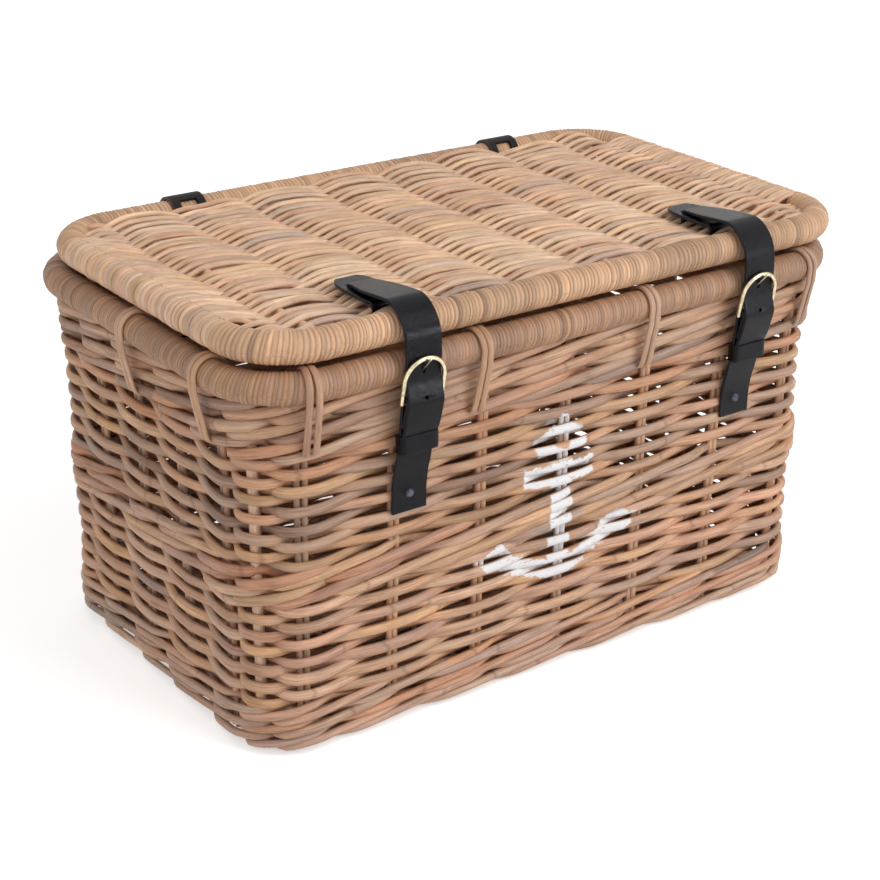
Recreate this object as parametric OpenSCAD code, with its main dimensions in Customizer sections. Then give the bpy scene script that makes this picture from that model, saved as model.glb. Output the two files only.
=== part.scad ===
// Wicker storage chest: a woven box with a woven lid, leather hinges and two buckled straps.
// +Z is up and -Y is the front with the buckles. Z = 0 is the floor.

/* [Rims] */
// Width of the body rim, from centre line to centre line
rim_w = 574; // [520:1:640]
// Depth of the body rim, from centre line to centre line
rim_d = 353; // [320:1:400]
// Corner radius of the body rim's centre line
rim_corner = 58; // [50:1:75]
// Height of the body rim's centre line above the floor
rim_z = 306.3; // [298:0.1:330]
// Diameter of the pole inside each rim
pole_d = 22.4; // [20:0.1:24]
// Thickness of the cane wound round a rim
wrap_t = 1.2; // [0.8:0.1:1.6]

/* [Lid] */
// How much narrower the lid rim is than the body rim, from centre line to centre line
lid_less_w = 2; // [0:1:8]
// How much shallower the lid rim is than the body rim, from centre line to centre line
lid_less_d = 24; // [20:1:28]
// Corner radius of the lid rim's centre line
lid_corner = 52; // [45:1:65]
// How far the lid sits to the right of the body's middle
lid_shift_x = 6.4; // [0:0.1:10]
// How far the lid sits in front of the body's middle
lid_shift_front = 6.5; // [4:0.1:8]
// Thickness of the woven lid panel
lid_panel_t = 15; // [12:0.5:18]
// Height of the panel's middle above the lid rim's centre line
lid_panel_rise = 3.1; // [0:0.1:5]
// Diameter of a stick across the lid
lid_stick_d = 7; // [5:0.5:8]
// Distance of the outer lid sticks from the lid rim's centre line, before their row is shifted
lid_stick_margin = 48; // [46:1:60]
// How far the middle of the row of lid sticks is to the right of the lid's middle
lid_stick_shift = 8; // [0:1:10]

/* [Walls] */
// Thickness of the woven wall
wall_t = 17; // [15:0.5:18]
// Height of the border that the chest stands on
border_h = 14; // [12:0.5:18]
// Width of that border
border_w = 14; // [12:0.5:18]
// How far the border's outer face is inside the rim's centre line
border_inset = 16; // [14:0.5:18]
// Height of the rope-like band above the border
bottom_wale_h = 27; // [20:1:34]
// Height of the lower open weave
lower_siding_h = 88; // [70:1:96]
// Height of the rope-like band at mid height
middle_wale_h = 30; // [20:1:38]
// Height of the upper open weave
upper_siding_h = 90; // [80:1:94]
// How far the bottom band's outer face is inside the rim's centre line
bottom_wale_inset = 3; // [1:0.5:5]
// How far the lower open weave's outer face is inside the rim's centre line
lower_siding_inset = 3.5; // [1:0.5:5]
// How far the middle band's outer face is inside the rim's centre line
middle_wale_inset = 1; // [0:0.5:4]
// How far the upper open weave's outer face is inside the rim's centre line
upper_siding_inset = 1.5; // [1:0.5:4]
// How far the top band's outer face is outside the rim's centre line
top_wale_out = 1; // [0:0.5:1.5]

/* [Stakes] */
// Diameter of one upright cane
cane_d = 5; // [4:0.5:6]
// Distance between the two canes of a stake
cane_pitch = 5.3; // [5.3:0.1:7]
// Diameter of a corner stake
corner_cane_d = 9; // [7:0.5:10]
// How far the stakes' centres are inside the rim's centre line
stake_inset = 10; // [9.5:0.1:10.5]
// Distance from one front stake to the next
stake_pitch = 82; // [78:0.5:84]
// Distance from one end stake to the next
end_stake_pitch = 65; // [56:1:66]
// How far the middle of the row of end stakes is in front of the body's middle
end_stake_shift = 16; // [0:1:18]
// Turn of the first front stake into the rounded corner
front_stake_turn = 18; // [14:1:22]
// Turn of the corner stake into the rounded corner
corner_stake_turn = 58; // [50:1:64]

/* [Base] */
// Thickness of the woven base
base_t = 10; // [8:0.5:11]
// Height of the base above the floor
base_lift = 3; // [2:0.5:3]
// Diameter of a stick across the base
base_stick_d = 6; // [4:0.5:7]
// Distance from one base stick to the next
base_stick_pitch = 72; // [60:1:76]

/* [Rim ties] */
// Thickness of a tie's cane
tie_t = 3.2; // [2.4:0.1:4]
// Width of a tie's cane
tie_w = 5.6; // [4:0.1:6]
// Distance between the two canes of a tie
tie_pitch = 7.8; // [6.5:0.1:12]
// How far a tie's legs reach below the rim's centre line
tie_drop = 54; // [40:1:56]
// Turn of the front ties into the rounded corners
tie_turn = 13; // [8:1:20]
// Place of the left front tie, left of the body's middle
tie_left_x = 95; // [60:1:110]
// Place of the right front tie, right of the body's middle
tie_right_x = 70; // [60:1:110]
// Place of the front one of an end's two ties, in front of the body's middle
tie_y = 112; // [60:1:114]

/* [Leather] */
// Thickness of the leather
strap_t = 2.6; // [2.2:0.1:2.8]
// Width of a strap
strap_w = 31; // [26:0.5:31]
// Place of the left front strap, left of the body's middle
strap_left_x = 156; // [145:1:157]
// Place of the right front strap, right of the body's middle
strap_right_x = 177; // [175:1:185]
// Place of the left hinge strap, left of the body's middle
hinge_left_x = 156; // [145:1:157]
// Place of the right hinge strap, right of the body's middle
hinge_right_x = 177; // [175:1:185]
// Width of the slotted end on the lid
tab_w = 36; // [34:0.5:40]
// Width of the strap's neck where it passes through its own slot
neck_w = 22; // [16:0.5:24]
// Distance of the slotted end's tip from the lid rim's centre line
tab_reach = 87; // [80:1:94]
// Distance of the slot from the lid rim's centre line
slot_reach = 60; // [54:1:64]
// Distance of the loop's outer leg from the lid rim's centre line
leg_reach = 21; // [18:1:26]
// Radius of the strap's bend round the front of the lid
bend_r = 29.3; // [28.5:0.1:29.5]
// Height of a strap's lower end above the floor
strap_foot_z = 187; // [175:1:192]
// Height of the rivet that holds a strap to the wall
rivet_z = 202; // [198:1:210]

/* [Buckles] */
// Thickness of the buckle's rod
rod_d = 3.4; // [3:0.1:3.6]
// Spare width between a strap and the buckle round it
buckle_room = 1; // [0.8:0.1:2]
// Height of the buckle between its rod's centre lines
buckle_h = 34; // [33:0.1:34.5]
// Lean of the buckle, with its round top outwards
buckle_tilt = 10; // [8:0.5:11]
// Distance of the heel bar below the rim's centre line
bar_drop = 23.3; // [22.5:0.1:24]
// Thickness of the prong
prong_d = 2.2; // [1.8:0.1:2.4]
// Height of the keeper loop
keeper_h = 14; // [10:1:14]
// Thickness of the keeper loop's leather
keeper_t = 1.5; // [1.2:0.1:1.6]
// Distance of the keeper loop's middle below the rim's centre line
keeper_drop = 58.3; // [58:0.1:60]

/* [Hidden] */

$fn = 48;

// Clearances: round a wound pole, beside a seated piece, round a stake, and round a pin
wrap_gap = 0.1;
seat = 0.3;
stake_gap = 0.2;
pin_gap = 0.15;
loop_gap = 0.25;

// Colours of the rattan, the cane, the leather and the brass
rattan = [0.72, 0.56, 0.42];
dark_rattan = [0.62, 0.47, 0.36];
cane = [0.78, 0.62, 0.45];
leather = [0.13, 0.13, 0.14];
brass = [0.55, 0.47, 0.3];

// The lid's size follows the body's
lid_w = rim_w - lid_less_w;
lid_d = rim_d - lid_less_d;
lid_stick_pitch = (lid_w - 2 * lid_stick_margin) / 7;

// A wound rim's outer radius, and the heights that follow from it
wrap_r = pole_d / 2 + wrap_gap + wrap_t;
lid_gap = wrap_gap + tie_t + seat;
lid_z = rim_z + 2 * wrap_r + lid_gap;
bottom_wale_z = border_h;
lower_siding_z = bottom_wale_z + bottom_wale_h;
middle_wale_z = lower_siding_z + lower_siding_h;
upper_siding_z = middle_wale_z + middle_wale_h;
top_wale_z = upper_siding_z + upper_siding_h;
top_wale_top = rim_z - wrap_r - seat;
lid_panel_z = lid_z + lid_panel_rise;
lid_panel_top = lid_panel_z + lid_panel_t / 2;
lid_panel_foot = lid_panel_z - lid_panel_t / 2;

// Distances in front of the body's middle, and behind it
rim_out = rim_d / 2;
lid_out = lid_d / 2 + lid_shift_front;
lid_back = lid_d / 2 - lid_shift_front;

// The heel bar and the round top of a buckle, as distance out and height
// Where the buckle's bend begins to cross the strap, the rim, the prong, the strap and the buckle lie
// one on the other
rod_r = rod_d / 2;
prong_r = prong_d / 2;
buckle_w = strap_w + rod_d + buckle_room;
hug_rise = buckle_h - buckle_w / 2 + 4;
hug_billet = rim_out + wrap_r + prong_d + strap_t / 2 + 0.25;
hug_plane = hug_billet + strap_t / 2 + rod_r + 0.4;
bar = [hug_plane - hug_rise * tan(buckle_tilt), rim_z - bar_drop];
buckle_top = bar + buckle_h * [tan(buckle_tilt), 1];
behind_top = buckle_top[0] - rod_r - strap_t / 2 - 0.45;
prong_elbow = [hug_billet - strap_t / 2 - seat - prong_r * 1.05, bar[1] + hug_rise - 0.5];
prong_tip = buckle_top + [rod_r + prong_r * 0.8 + 2.3, 0.5];

// The lines that the leather follows, as distance out and height
wall_line = rim_out - upper_siding_inset + seat + strap_t / 2;
loop_r = rod_r + loop_gap + strap_t / 2;
layer = strap_t + seat;
back_low = bar + [-8.5, -46];
back_high = bar - [loop_r, 0];
fold_z = -21;
function back_line(z) = back_low + (back_high - back_low) * (z - back_low[1]) / (back_high[1] - back_low[1]);
fold_end = [back_line(bar[1] + fold_z)[0] + layer, bar[1] + fold_z];
billet_out = bar[0] + loop_r + strap_t + seat + 0.1;
keeper_z = rim_z - keeper_drop;
keeper_billet = [back_line(keeper_z + keeper_h / 2)[0] + layer, keeper_z + keeper_h / 2];
billet_tip_z = keeper_z - keeper_h / 2 - 2;
bend_c = [behind_top - 0.8 - bend_r, lid_z - 8.5];
split_z = bend_c[1] - 4.4;
split_gap = 0.3;
spare_hole_z = rim_z - 19;
bend_inner = 2.6;
tab_line = lid_panel_top + seat + strap_t / 2;
under_line = lid_panel_foot - seat - strap_t / 2;
run_line = tab_line + layer;

// How far the finished chest reaches each way, which puts the origin in its middle
tie_reach = wrap_r + wrap_gap + tie_t;
reach_left = rim_w / 2 + tie_reach;
reach_right = max(reach_left, lid_shift_x + lid_w / 2 + wrap_r);
reach_front = prong_tip[0] + prong_r * 0.9;
reach_back = rim_out + max(tie_reach, wrap_r + seat + strap_t);
middle = [(reach_right - reach_left) / 2, (reach_back - reach_front) / 2, 0];

// Everything is drawn about the body's middle and then placed with the origin under the whole chest
module placed() { translate(-middle) children(); }
module on_lid() { translate([lid_shift_x, -lid_shift_front, lid_z]) children(); }

// A rounded rectangle
module plan(w, d, r) {
    square([w - 2 * r, d], center = true);
    square([w, d - 2 * r], center = true);
    for (sx = [-1, 1], sy = [-1, 1]) translate([sx * (w / 2 - r), sy * (d / 2 - r)]) circle(r = r, $fn = 64);
}

// A ring of wall with its outer face a given distance inside the rim's centre line
module ring(inset, t, h) {
    linear_extrude(h) difference() {
        plan(rim_w - 2 * inset, rim_d - 2 * inset, rim_corner - inset);
        plan(rim_w - 2 * (inset + t), rim_d - 2 * (inset + t), rim_corner - inset - t);
    }
}

// The rounded corner quarter and the straight runs of a tube bent round a rectangle
module corner_bends(w, d, r, tube_r) {
    for (k = [[1, 1, 0], [-1, 1, 90], [-1, -1, 180], [1, -1, 270]])
        translate([k[0] * (w / 2 - r), k[1] * (d / 2 - r), 0]) rotate([0, 0, k[2]])
            rotate_extrude(angle = 90, $fn = 96) translate([r, 0]) circle(r = tube_r);
}
module long_runs(w, d, r, tube_r) {
    for (sy = [-1, 1]) translate([0, sy * d / 2, 0]) rotate([0, 90, 0])
        cylinder(r = tube_r, h = w - 2 * r, center = true);
}
module end_runs(w, d, r, tube_r, spare = 0) {
    for (sx = [-1, 1]) translate([sx * w / 2, 0, 0]) rotate([90, 0, 0])
        cylinder(r = tube_r, h = d - 2 * r - 2 * spare, center = true);
}
module bent_tube(w, d, r, tube_r) {
    corner_bends(w, d, r, tube_r);
    long_runs(w, d, r, tube_r);
    end_runs(w, d, r, tube_r);
}

// A strip of even thickness along a line, drawn from its side
function unit(v) = v / norm(v);
function left_of(v) = [-v[1], v[0]];
function mitre(p, i) =
    let (a = i > 0 ? unit(p[i] - p[i - 1]) : unit(p[i + 1] - p[i]),
        b = i < len(p) - 1 ? unit(p[i + 1] - p[i]) : a,
        n = unit(left_of(a) + left_of(b)))
    n / (n * left_of(a));
function strip(p, t) = concat([for (i = [0:len(p) - 1]) p[i] + mitre(p, i) * t / 2],
    [for (i = [len(p) - 1:-1:0]) p[i] - mitre(p, i) * t / 2]);
function arc(c, r, a0, a1, n = 8) =
    [for (k = [0:n]) let (a = a0 + (a1 - a0) * k / n) c + r * [cos(a), sin(a)]];
module front_strip(p, w) {
    rotate([90, 0, -90]) linear_extrude(w, center = true) polygon(strip(p, strap_t));
}
module back_strip(p, w) {
    rotate([90, 0, 90]) linear_extrude(w, center = true) polygon(strip(p, strap_t));
}

// A round rod between two points
module rod(a, b, r) {
    v = b - a;
    translate(a) rotate([0, acos(v[2] / norm(v)), atan2(v[1], v[0])]) cylinder(r = r, h = norm(v), $fn = 24);
}

// Where the stakes stand: place and turn of each one's outward normal
stake_r = rim_corner - stake_inset;
corner_c = [rim_w / 2 - rim_corner, rim_d / 2 - rim_corner];
function turned(turn) = [corner_c[0] + stake_r * sin(turn), -corner_c[1] - stake_r * cos(turn)];
front_row = concat([for (i = [-2:2]) [i * stake_pitch, -rim_out + stake_inset, 0]],
    [for (s = [-1, 1]) [s * turned(front_stake_turn)[0], turned(front_stake_turn)[1], s * front_stake_turn]]);
end_row = [for (j = [-1.5:1.5]) [rim_w / 2 - stake_inset, j * end_stake_pitch - end_stake_shift, 90]];
corner_row = [for (s = [-1, 1]) [s * turned(corner_stake_turn)[0], turned(corner_stake_turn)[1], 0]];

module stake_pairs(row, d, h) {
    for (s = row) translate([s[0], s[1], 0]) rotate([0, 0, s[2]])
        for (k = [-1, 1]) translate([k * cane_pitch / 2, 0, 0]) cylinder(d = d, h = h, $fn = 24);
}
module corner_poles(d, h) {
    for (s = corner_row, m = [0, 1]) mirror([0, m, 0]) translate([s[0], s[1], 0])
        cylinder(d = d, h = h, $fn = 24);
}
module stake_channels() {
    h = top_wale_top + 1;
    stake_pairs(front_row, cane_d + 2 * stake_gap, h);
    mirror([0, 1, 0]) stake_pairs(front_row, cane_d + 2 * stake_gap, h);
    stake_pairs(end_row, cane_d + 2 * stake_gap, h);
    mirror([1, 0, 0]) stake_pairs(end_row, cane_d + 2 * stake_gap, h);
    corner_poles(corner_cane_d + 2 * stake_gap, h);
}
module stakes(tint) {
    color(tint) placed() translate([0, 0, bottom_wale_z + seat]) children();
}
stake_h = top_wale_top - bottom_wale_z - 2 * seat;

// One band of the wall, with room for the stakes
module band(inset, z, top, tint) {
    color(tint) placed() difference() {
        translate([0, 0, z]) ring(inset, wall_t, top - z);
        stake_channels();
        rivet_holes();
    }
}

// Base
module base_border() { color(dark_rattan) placed() ring(border_inset, border_w, border_h); }
base_inset = border_inset + border_w + seat;
base_w = rim_w - 2 * base_inset;
base_d = rim_d - 2 * base_inset;
module base_stick_row(d, length) {
    for (i = [-3:3]) translate([i * base_stick_pitch, 0, base_lift + base_t / 2]) rotate([90, 0, 0])
        cylinder(d = d, h = length, center = true, $fn = 24);
}
module base_sticks() { color(cane) placed() base_stick_row(base_stick_d, base_d); }
module base_weave() {
    color(rattan) placed() difference() {
        translate([0, 0, base_lift]) linear_extrude(base_t) plan(base_w, base_d, rim_corner - base_inset);
        base_stick_row(base_stick_d + 2 * stake_gap, base_d + 1);
    }
}

// Wall bands
module bottom_wale() { band(bottom_wale_inset, bottom_wale_z, lower_siding_z, dark_rattan); }
module lower_siding() { band(lower_siding_inset, lower_siding_z, middle_wale_z, rattan); }
module middle_wale() { band(middle_wale_inset, middle_wale_z, upper_siding_z, dark_rattan); }
module upper_siding() { band(upper_siding_inset, upper_siding_z, top_wale_z, rattan); }
module top_wale() { band(-top_wale_out, top_wale_z, top_wale_top, dark_rattan); }

// Stakes
module front_stakes() { stakes(cane) stake_pairs(front_row, cane_d, stake_h); }
module back_stakes() { stakes(cane) mirror([0, 1, 0]) stake_pairs(front_row, cane_d, stake_h); }
module right_stakes() { stakes(cane) stake_pairs(end_row, cane_d, stake_h); }
module left_stakes() { stakes(cane) mirror([1, 0, 0]) stake_pairs(end_row, cane_d, stake_h); }
module corner_stakes() { stakes(cane) corner_poles(corner_cane_d, stake_h); }

// Body rim
module body_rim_pole() {
    color(dark_rattan) placed() translate([0, 0, rim_z]) bent_tube(rim_w, rim_d, rim_corner, pole_d / 2);
}
module body_rim_binding() {
    color(cane) placed() translate([0, 0, rim_z]) difference() {
        bent_tube(rim_w, rim_d, rim_corner, wrap_r);
        bent_tube(rim_w, rim_d, rim_corner, pole_d / 2 + wrap_gap);
    }
}

// A tie's cane is drawn from its side, as distance out and height from the rim's centre. It hugs the
// rim, its outer leg slants in to the wall, and its inner end tucks in above the wall.
tie_in = wrap_r + wrap_gap;
tie_foot = [top_wale_out + wrap_gap, tie_drop];
tie_lean = asin(tie_in / norm(tie_foot)) - atan2(tie_foot[0], tie_foot[1]);
tie_tuck = 44;
tie_steps = 14;
tie_step = (180 + tie_tuck + tie_lean) / tie_steps;
function tie_arc(r, first, step) = [for (k = [0:tie_steps]) r * [cos(first + k * step), sin(first + k * step)]];
module tie_cane() {
    foot = [tie_foot[0], -tie_foot[1]];
    rotate([90, 0, -90]) linear_extrude(tie_w, center = true) polygon(concat(
        tie_arc(tie_in / cos(tie_step / 2), 180 + tie_tuck, -tie_step), [foot],
        [foot + tie_t * [cos(tie_lean), -sin(tie_lean)]], tie_arc(tie_in + tie_t, -tie_lean, tie_step)));
}
module tie() {
    for (k = [-1, 1]) translate([k * tie_pitch / 2, 0, 0]) tie_cane();
}
module corner_tie(turn) {
    for (k = [-1, 1]) rotate([0, 0, turn + k * asin(tie_pitch / 2 / rim_corner)])
        translate([0, -rim_corner, 0]) tie_cane();
}
module rim_ties() {
    color(cane) placed() translate([0, 0, rim_z]) {
        for (m = [0, 1]) mirror([0, m, 0]) {
            for (x = [-tie_left_x, tie_right_x]) translate([x, -rim_out, 0]) tie();
            for (s = [-1, 1]) translate([s * corner_c[0], -corner_c[1], 0]) corner_tie(s * tie_turn);
        }
        for (s = [-1, 1], y = [0, -tie_y]) translate([s * rim_w / 2, y, 0]) rotate([0, 0, s * 90]) tie();
    }
}

// Lower straps, each folded round a heel bar and riveted to the wall
lower_path = concat([[wall_line, strap_foot_z], [wall_line, bar[1] - 71], back_low],
    arc(bar, loop_r, 180, 0, 12), [fold_end]);
fold_slot = bar[1] - 17;
module lower_strap(x) {
    color(leather) placed() difference() {
        translate([x, 0, 0]) front_strip(lower_path, strap_w);
        translate([x - prong_d, -bar[0] - 10, fold_slot]) cube([2 * prong_d, 10.5, 30]);
        translate([x - prong_d, -bar[0] - 10, bar[1] - 7]) cube([2 * prong_d, 20, 20]);
        rivet_holes();
    }
}
module lower_strap_left() { lower_strap(-strap_left_x); }
module lower_strap_right() { lower_strap(strap_right_x); }

// Keeper loops round the lower strap and the strap's free end
keeper_in = back_line(keeper_z - keeper_h / 2)[0] - strap_t / 2 - seat - 0.05;
keeper_out = keeper_billet[0] + strap_t / 2 + seat;
module keeper(x) {
    color(leather) placed() translate([x, 0, keeper_z - keeper_h / 2]) linear_extrude(keeper_h) difference() {
        translate([-strap_w / 2 - seat - keeper_t, -keeper_out - keeper_t])
            square([strap_w + 2 * (seat + keeper_t), keeper_out - keeper_in + 2 * keeper_t]);
        translate([-strap_w / 2 - seat, -keeper_out]) square([strap_w + 2 * seat, keeper_out - keeper_in]);
    }
}
module keeper_left() { keeper(-strap_left_x); }
module keeper_right() { keeper(strap_right_x); }

// Rivets through the straps and the wall
shank_r = 1.5;
head_r = 3.6;
head_t = 1.4;
rivet_out = wall_line + strap_t / 2;
rivet_in = rim_out - upper_siding_inset - wall_t;
module rivet_places() {
    translate([-strap_left_x, 0, rivet_z]) children();
    translate([strap_right_x, 0, rivet_z]) children();
    mirror([0, 1, 0]) translate([-hinge_left_x, 0, rivet_z]) children();
    mirror([0, 1, 0]) translate([hinge_right_x, 0, rivet_z]) children();
}
module rivet_holes() {
    rivet_places() rotate([90, 0, 0]) translate([0, 0, rivet_in - 5])
        cylinder(r = shank_r + wrap_gap, h = rivet_out - rivet_in + 10, $fn = 24);
}
module strap_rivets() {
    color(brass) placed() rivet_places() rotate([90, 0, 0]) {
        translate([0, 0, rivet_in - wrap_gap - head_t])
            cylinder(r = shank_r, h = rivet_out - rivet_in + 2 * (wrap_gap + head_t), $fn = 24);
        translate([0, 0, rivet_in - wrap_gap - head_t]) cylinder(r = head_r, h = head_t, $fn = 32);
        translate([0, 0, rivet_out + wrap_gap]) cylinder(r1 = head_r, r2 = head_r * 0.7, h = head_t, $fn = 32);
    }
}

// Hinge straps, round the lid rim and down over the body rim
lid_c = [lid_back, lid_z];
rim_c = [rim_out, rim_z];
hinge_r = wrap_r + seat + strap_t / 2;
across = atan2(rim_c[1] - lid_c[1], rim_c[0] - lid_c[0]) + 90;
hinge_path = concat(arc(lid_c, hinge_r, 255, across, 20), arc(rim_c, hinge_r, across, -10, 6),
    [[wall_line, bar[1] - 56], [wall_line, strap_foot_z]]);
module hinge_strap(x) {
    color(leather) placed() difference() {
        translate([x, 0, 0]) back_strip(hinge_path, strap_w);
        rivet_holes();
        lid_stick_room();
    }
}
module hinge_strap_left() { hinge_strap(-hinge_left_x); }
module hinge_strap_right() { hinge_strap(hinge_right_x); }

// Horseshoe buckles with their heel bars, and the prongs on the bars
buckle_lean = atan2(buckle_top[0] - bar[0], buckle_top[1] - bar[1]);
buckle_len = norm(buckle_top - bar);
module buckle_frame(x) {
    color(brass) placed() translate([x, -bar[0], bar[1]]) rotate([buckle_lean, 0, 0]) {
        rotate([0, 90, 0]) cylinder(r = rod_r, h = buckle_w, center = true, $fn = 32);
        for (s = [-1, 1]) translate([s * buckle_w / 2, 0, 0]) {
            sphere(r = rod_r, $fn = 32);
            cylinder(r = rod_r, h = buckle_len - buckle_w / 2, $fn = 32);
        }
        translate([0, 0, buckle_len - buckle_w / 2]) rotate([90, 0, 0])
            rotate_extrude(angle = 180, $fn = 64) translate([buckle_w / 2, 0]) circle(r = rod_r, $fn = 32);
    }
}
module buckle_frame_left() { buckle_frame(-strap_left_x); }
module buckle_frame_right() { buckle_frame(strap_right_x); }

module prong(x) {
    elbow = [0, -prong_elbow[0], prong_elbow[1]];
    tip = [0, -prong_tip[0], prong_tip[1]];
    heel = [0, -bar[0], bar[1]];
    color(brass) placed() translate([x, 0, 0]) difference() {
        union() {
            translate(heel) rotate([0, 90, 0])
                cylinder(r = rod_r + pin_gap + 1.2, h = prong_d * 1.5, center = true, $fn = 32);
            rod(heel, elbow, prong_r);
            translate(elbow) sphere(r = prong_r * 1.05, $fn = 24);
            rod(elbow, tip, prong_r * 0.8);
            translate(tip) sphere(r = prong_r * 0.9, $fn = 24);
        }
        translate(heel) rotate([0, 90, 0]) cylinder(r = rod_r + pin_gap, h = 3 * prong_d, center = true, $fn = 32);
    }
}
module prong_left() { prong(-strap_left_x); }
module prong_right() { prong(strap_right_x); }

// Lid
module lid_rim_pole() { color(dark_rattan) placed() on_lid() bent_tube(lid_w, lid_d, lid_corner, pole_d / 2); }
module lid_rim_binding() {
    color(cane) placed() on_lid() difference() {
        union() {
            corner_bends(lid_w, lid_d, lid_corner, wrap_r);
            long_runs(lid_w, lid_d, lid_corner, wrap_r);
        }
        bent_tube(lid_w, lid_d, lid_corner, pole_d / 2 + wrap_gap);
    }
}
module lid_end_turns() {
    color(rattan) placed() on_lid() difference() {
        end_runs(lid_w, lid_d, lid_corner, wrap_r, wrap_gap);
        end_runs(lid_w, lid_d, lid_corner, pole_d / 2 + wrap_gap);
    }
}
lid_inset = wrap_r + seat;
lid_bend_in = lid_corner - lid_inset;
function into_bend(x) = max(0, abs(x) + lid_stick_d / 2 - lid_w / 2 + lid_corner);
function stick_half(x) = lid_d / 2 - lid_corner + sqrt(lid_bend_in * lid_bend_in - into_bend(x) * into_bend(x));
module lid_stick_row(d, spare) {
    for (x = [for (i = [-3.5:3.5]) i * lid_stick_pitch + lid_stick_shift]) translate([x, 0, lid_panel_rise])
        rotate([90, 0, 0]) cylinder(d = d, h = 2 * (stick_half(x) + spare), center = true, $fn = 24);
}
module lid_stick_room() { on_lid() lid_stick_row(lid_stick_d + 2 * stake_gap, lid_inset); }
module lid_sticks() { color(cane) placed() on_lid() lid_stick_row(lid_stick_d, -seat); }

// Slits that let the front straps through the panel, and room for the hinge straps at its edge
slit_w = strap_t + 2 * seat + 0.6;
module strap_slits() {
    deep = lid_panel_t + 2 * strap_t;
    for (x = [-strap_left_x, strap_right_x]) {
        translate([x - strap_w / 2 - seat, -lid_out + leg_reach - slit_w / 2, lid_panel_z - deep / 2])
            cube([strap_w + 2 * seat, slit_w, deep]);
        translate([x - neck_w / 2 - seat, -lid_out + slot_reach - slit_w / 2, lid_panel_z - deep / 2])
            cube([neck_w + 2 * seat, slit_w, deep]);
    }
    for (x = [-hinge_left_x, hinge_right_x])
        translate([x - strap_w / 2 - seat, lid_back - hinge_r - slit_w / 2, lid_panel_z - deep / 2])
            cube([strap_w + 2 * seat, slit_w + strap_t, deep]);
}
module lid_weave() {
    color(rattan) placed() difference() {
        on_lid() translate([0, 0, lid_panel_rise - lid_panel_t / 2]) linear_extrude(lid_panel_t)
            plan(lid_w - 2 * lid_inset, lid_d - 2 * lid_inset, lid_corner - lid_inset);
        lid_stick_room();
        strap_slits();
    }
}

// Upper straps: a slotted end on the lid, a loop through the weave, and the run over the rim
slot_out = lid_out - slot_reach;
leg_out = lid_out - leg_reach;
loop_path = concat([[lid_out - tab_reach, tab_line]],
    arc([leg_out - bend_inner, tab_line - bend_inner], bend_inner, 90, 0, 4),
    arc([leg_out - bend_inner, under_line + bend_inner], bend_inner, 0, -90, 4),
    [[slot_out, under_line]]);
neck_path = concat(arc([slot_out + bend_inner, under_line + bend_inner], bend_inner, 270, 180, 4),
    arc([slot_out + bend_inner, run_line - bend_inner], bend_inner, 180, 90, 4));
run_path = concat([[slot_out + bend_inner - 1, run_line]], arc(bend_c, bend_r, 84, 0, 10),
    [[bend_c[0] + bend_r, split_z + split_gap / 2]]);
module upper_strap(x) {
    color(leather) placed() difference() {
        translate([x, 0, 0]) {
            difference() {
                front_strip(loop_path, tab_w);
                translate([-neck_w / 2 - seat, -slot_out - slit_w / 2 - bend_inner, tab_line - strap_t])
                    cube([neck_w + 2 * seat, slit_w + bend_inner, 2 * strap_t]);
                for (s = [-1, 1]) translate([s * (tab_w + strap_w) / 2, -leg_out, lid_panel_top + 0.1 - lid_panel_t])
                    cube([tab_w, 2 * slot_reach, 2 * lid_panel_t], center = true);
            }
            front_strip(neck_path, neck_w);
            front_strip(run_path, strap_w);
        }
        lid_stick_room();
    }
}
module upper_strap_left() { upper_strap(-strap_left_x); }
module upper_strap_right() { upper_strap(strap_right_x); }

// Billets: the straps' free ends, behind the buckles' round tops and through the keepers
billet_path = [[bend_c[0] + bend_r, split_z - split_gap / 2],
    [behind_top, buckle_top[1]], [hug_billet, bar[1] + hug_rise],
    [billet_out, bar[1]], [fold_end[0] + layer + 0.3, fold_end[1] - 1],
    keeper_billet, [back_line(billet_tip_z)[0] + layer, billet_tip_z]];
module billet(x) {
    color(leather) placed() translate([x, 0, 0]) difference() {
        front_strip(billet_path, strap_w);
        rod([0, -prong_elbow[0], prong_elbow[1]], [0, -prong_tip[0], prong_tip[1]], prong_r * 0.8 + 0.4);
        translate([0, -bar[0], spare_hole_z]) rotate([90, 0, 0]) cylinder(d = prong_d, h = 20, $fn = 24);
    }
}
module billet_left() { billet(-strap_left_x); }
module billet_right() { billet(strap_right_x); }

base_border();
base_sticks();
base_weave();
bottom_wale();
lower_siding();
middle_wale();
upper_siding();
top_wale();
front_stakes();
back_stakes();
left_stakes();
right_stakes();
corner_stakes();
body_rim_pole();
body_rim_binding();
rim_ties();
lower_strap_left();
lower_strap_right();
keeper_left();
keeper_right();
strap_rivets();
hinge_strap_left();
hinge_strap_right();
buckle_frame_left();
buckle_frame_right();
prong_left();
prong_right();
lid_rim_pole();
lid_rim_binding();
lid_end_turns();
lid_weave();
lid_sticks();
upper_strap_left();
upper_strap_right();
billet_left();
billet_right();
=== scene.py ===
"""A wicker storage chest with a woven lid, leather hinge straps and two buckled straps at the front.

Everything is drawn in millimetres about the middle of the body and placed in the frame's metres by to_row.
"""

import math

import bmesh
import bpy
import numpy as np
from bpy.props import FloatProperty, FloatVectorProperty, IntProperty, PointerProperty
from bpy.types import Operator, Panel, PropertyGroup
from mathutils import Matrix, Vector


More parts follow.
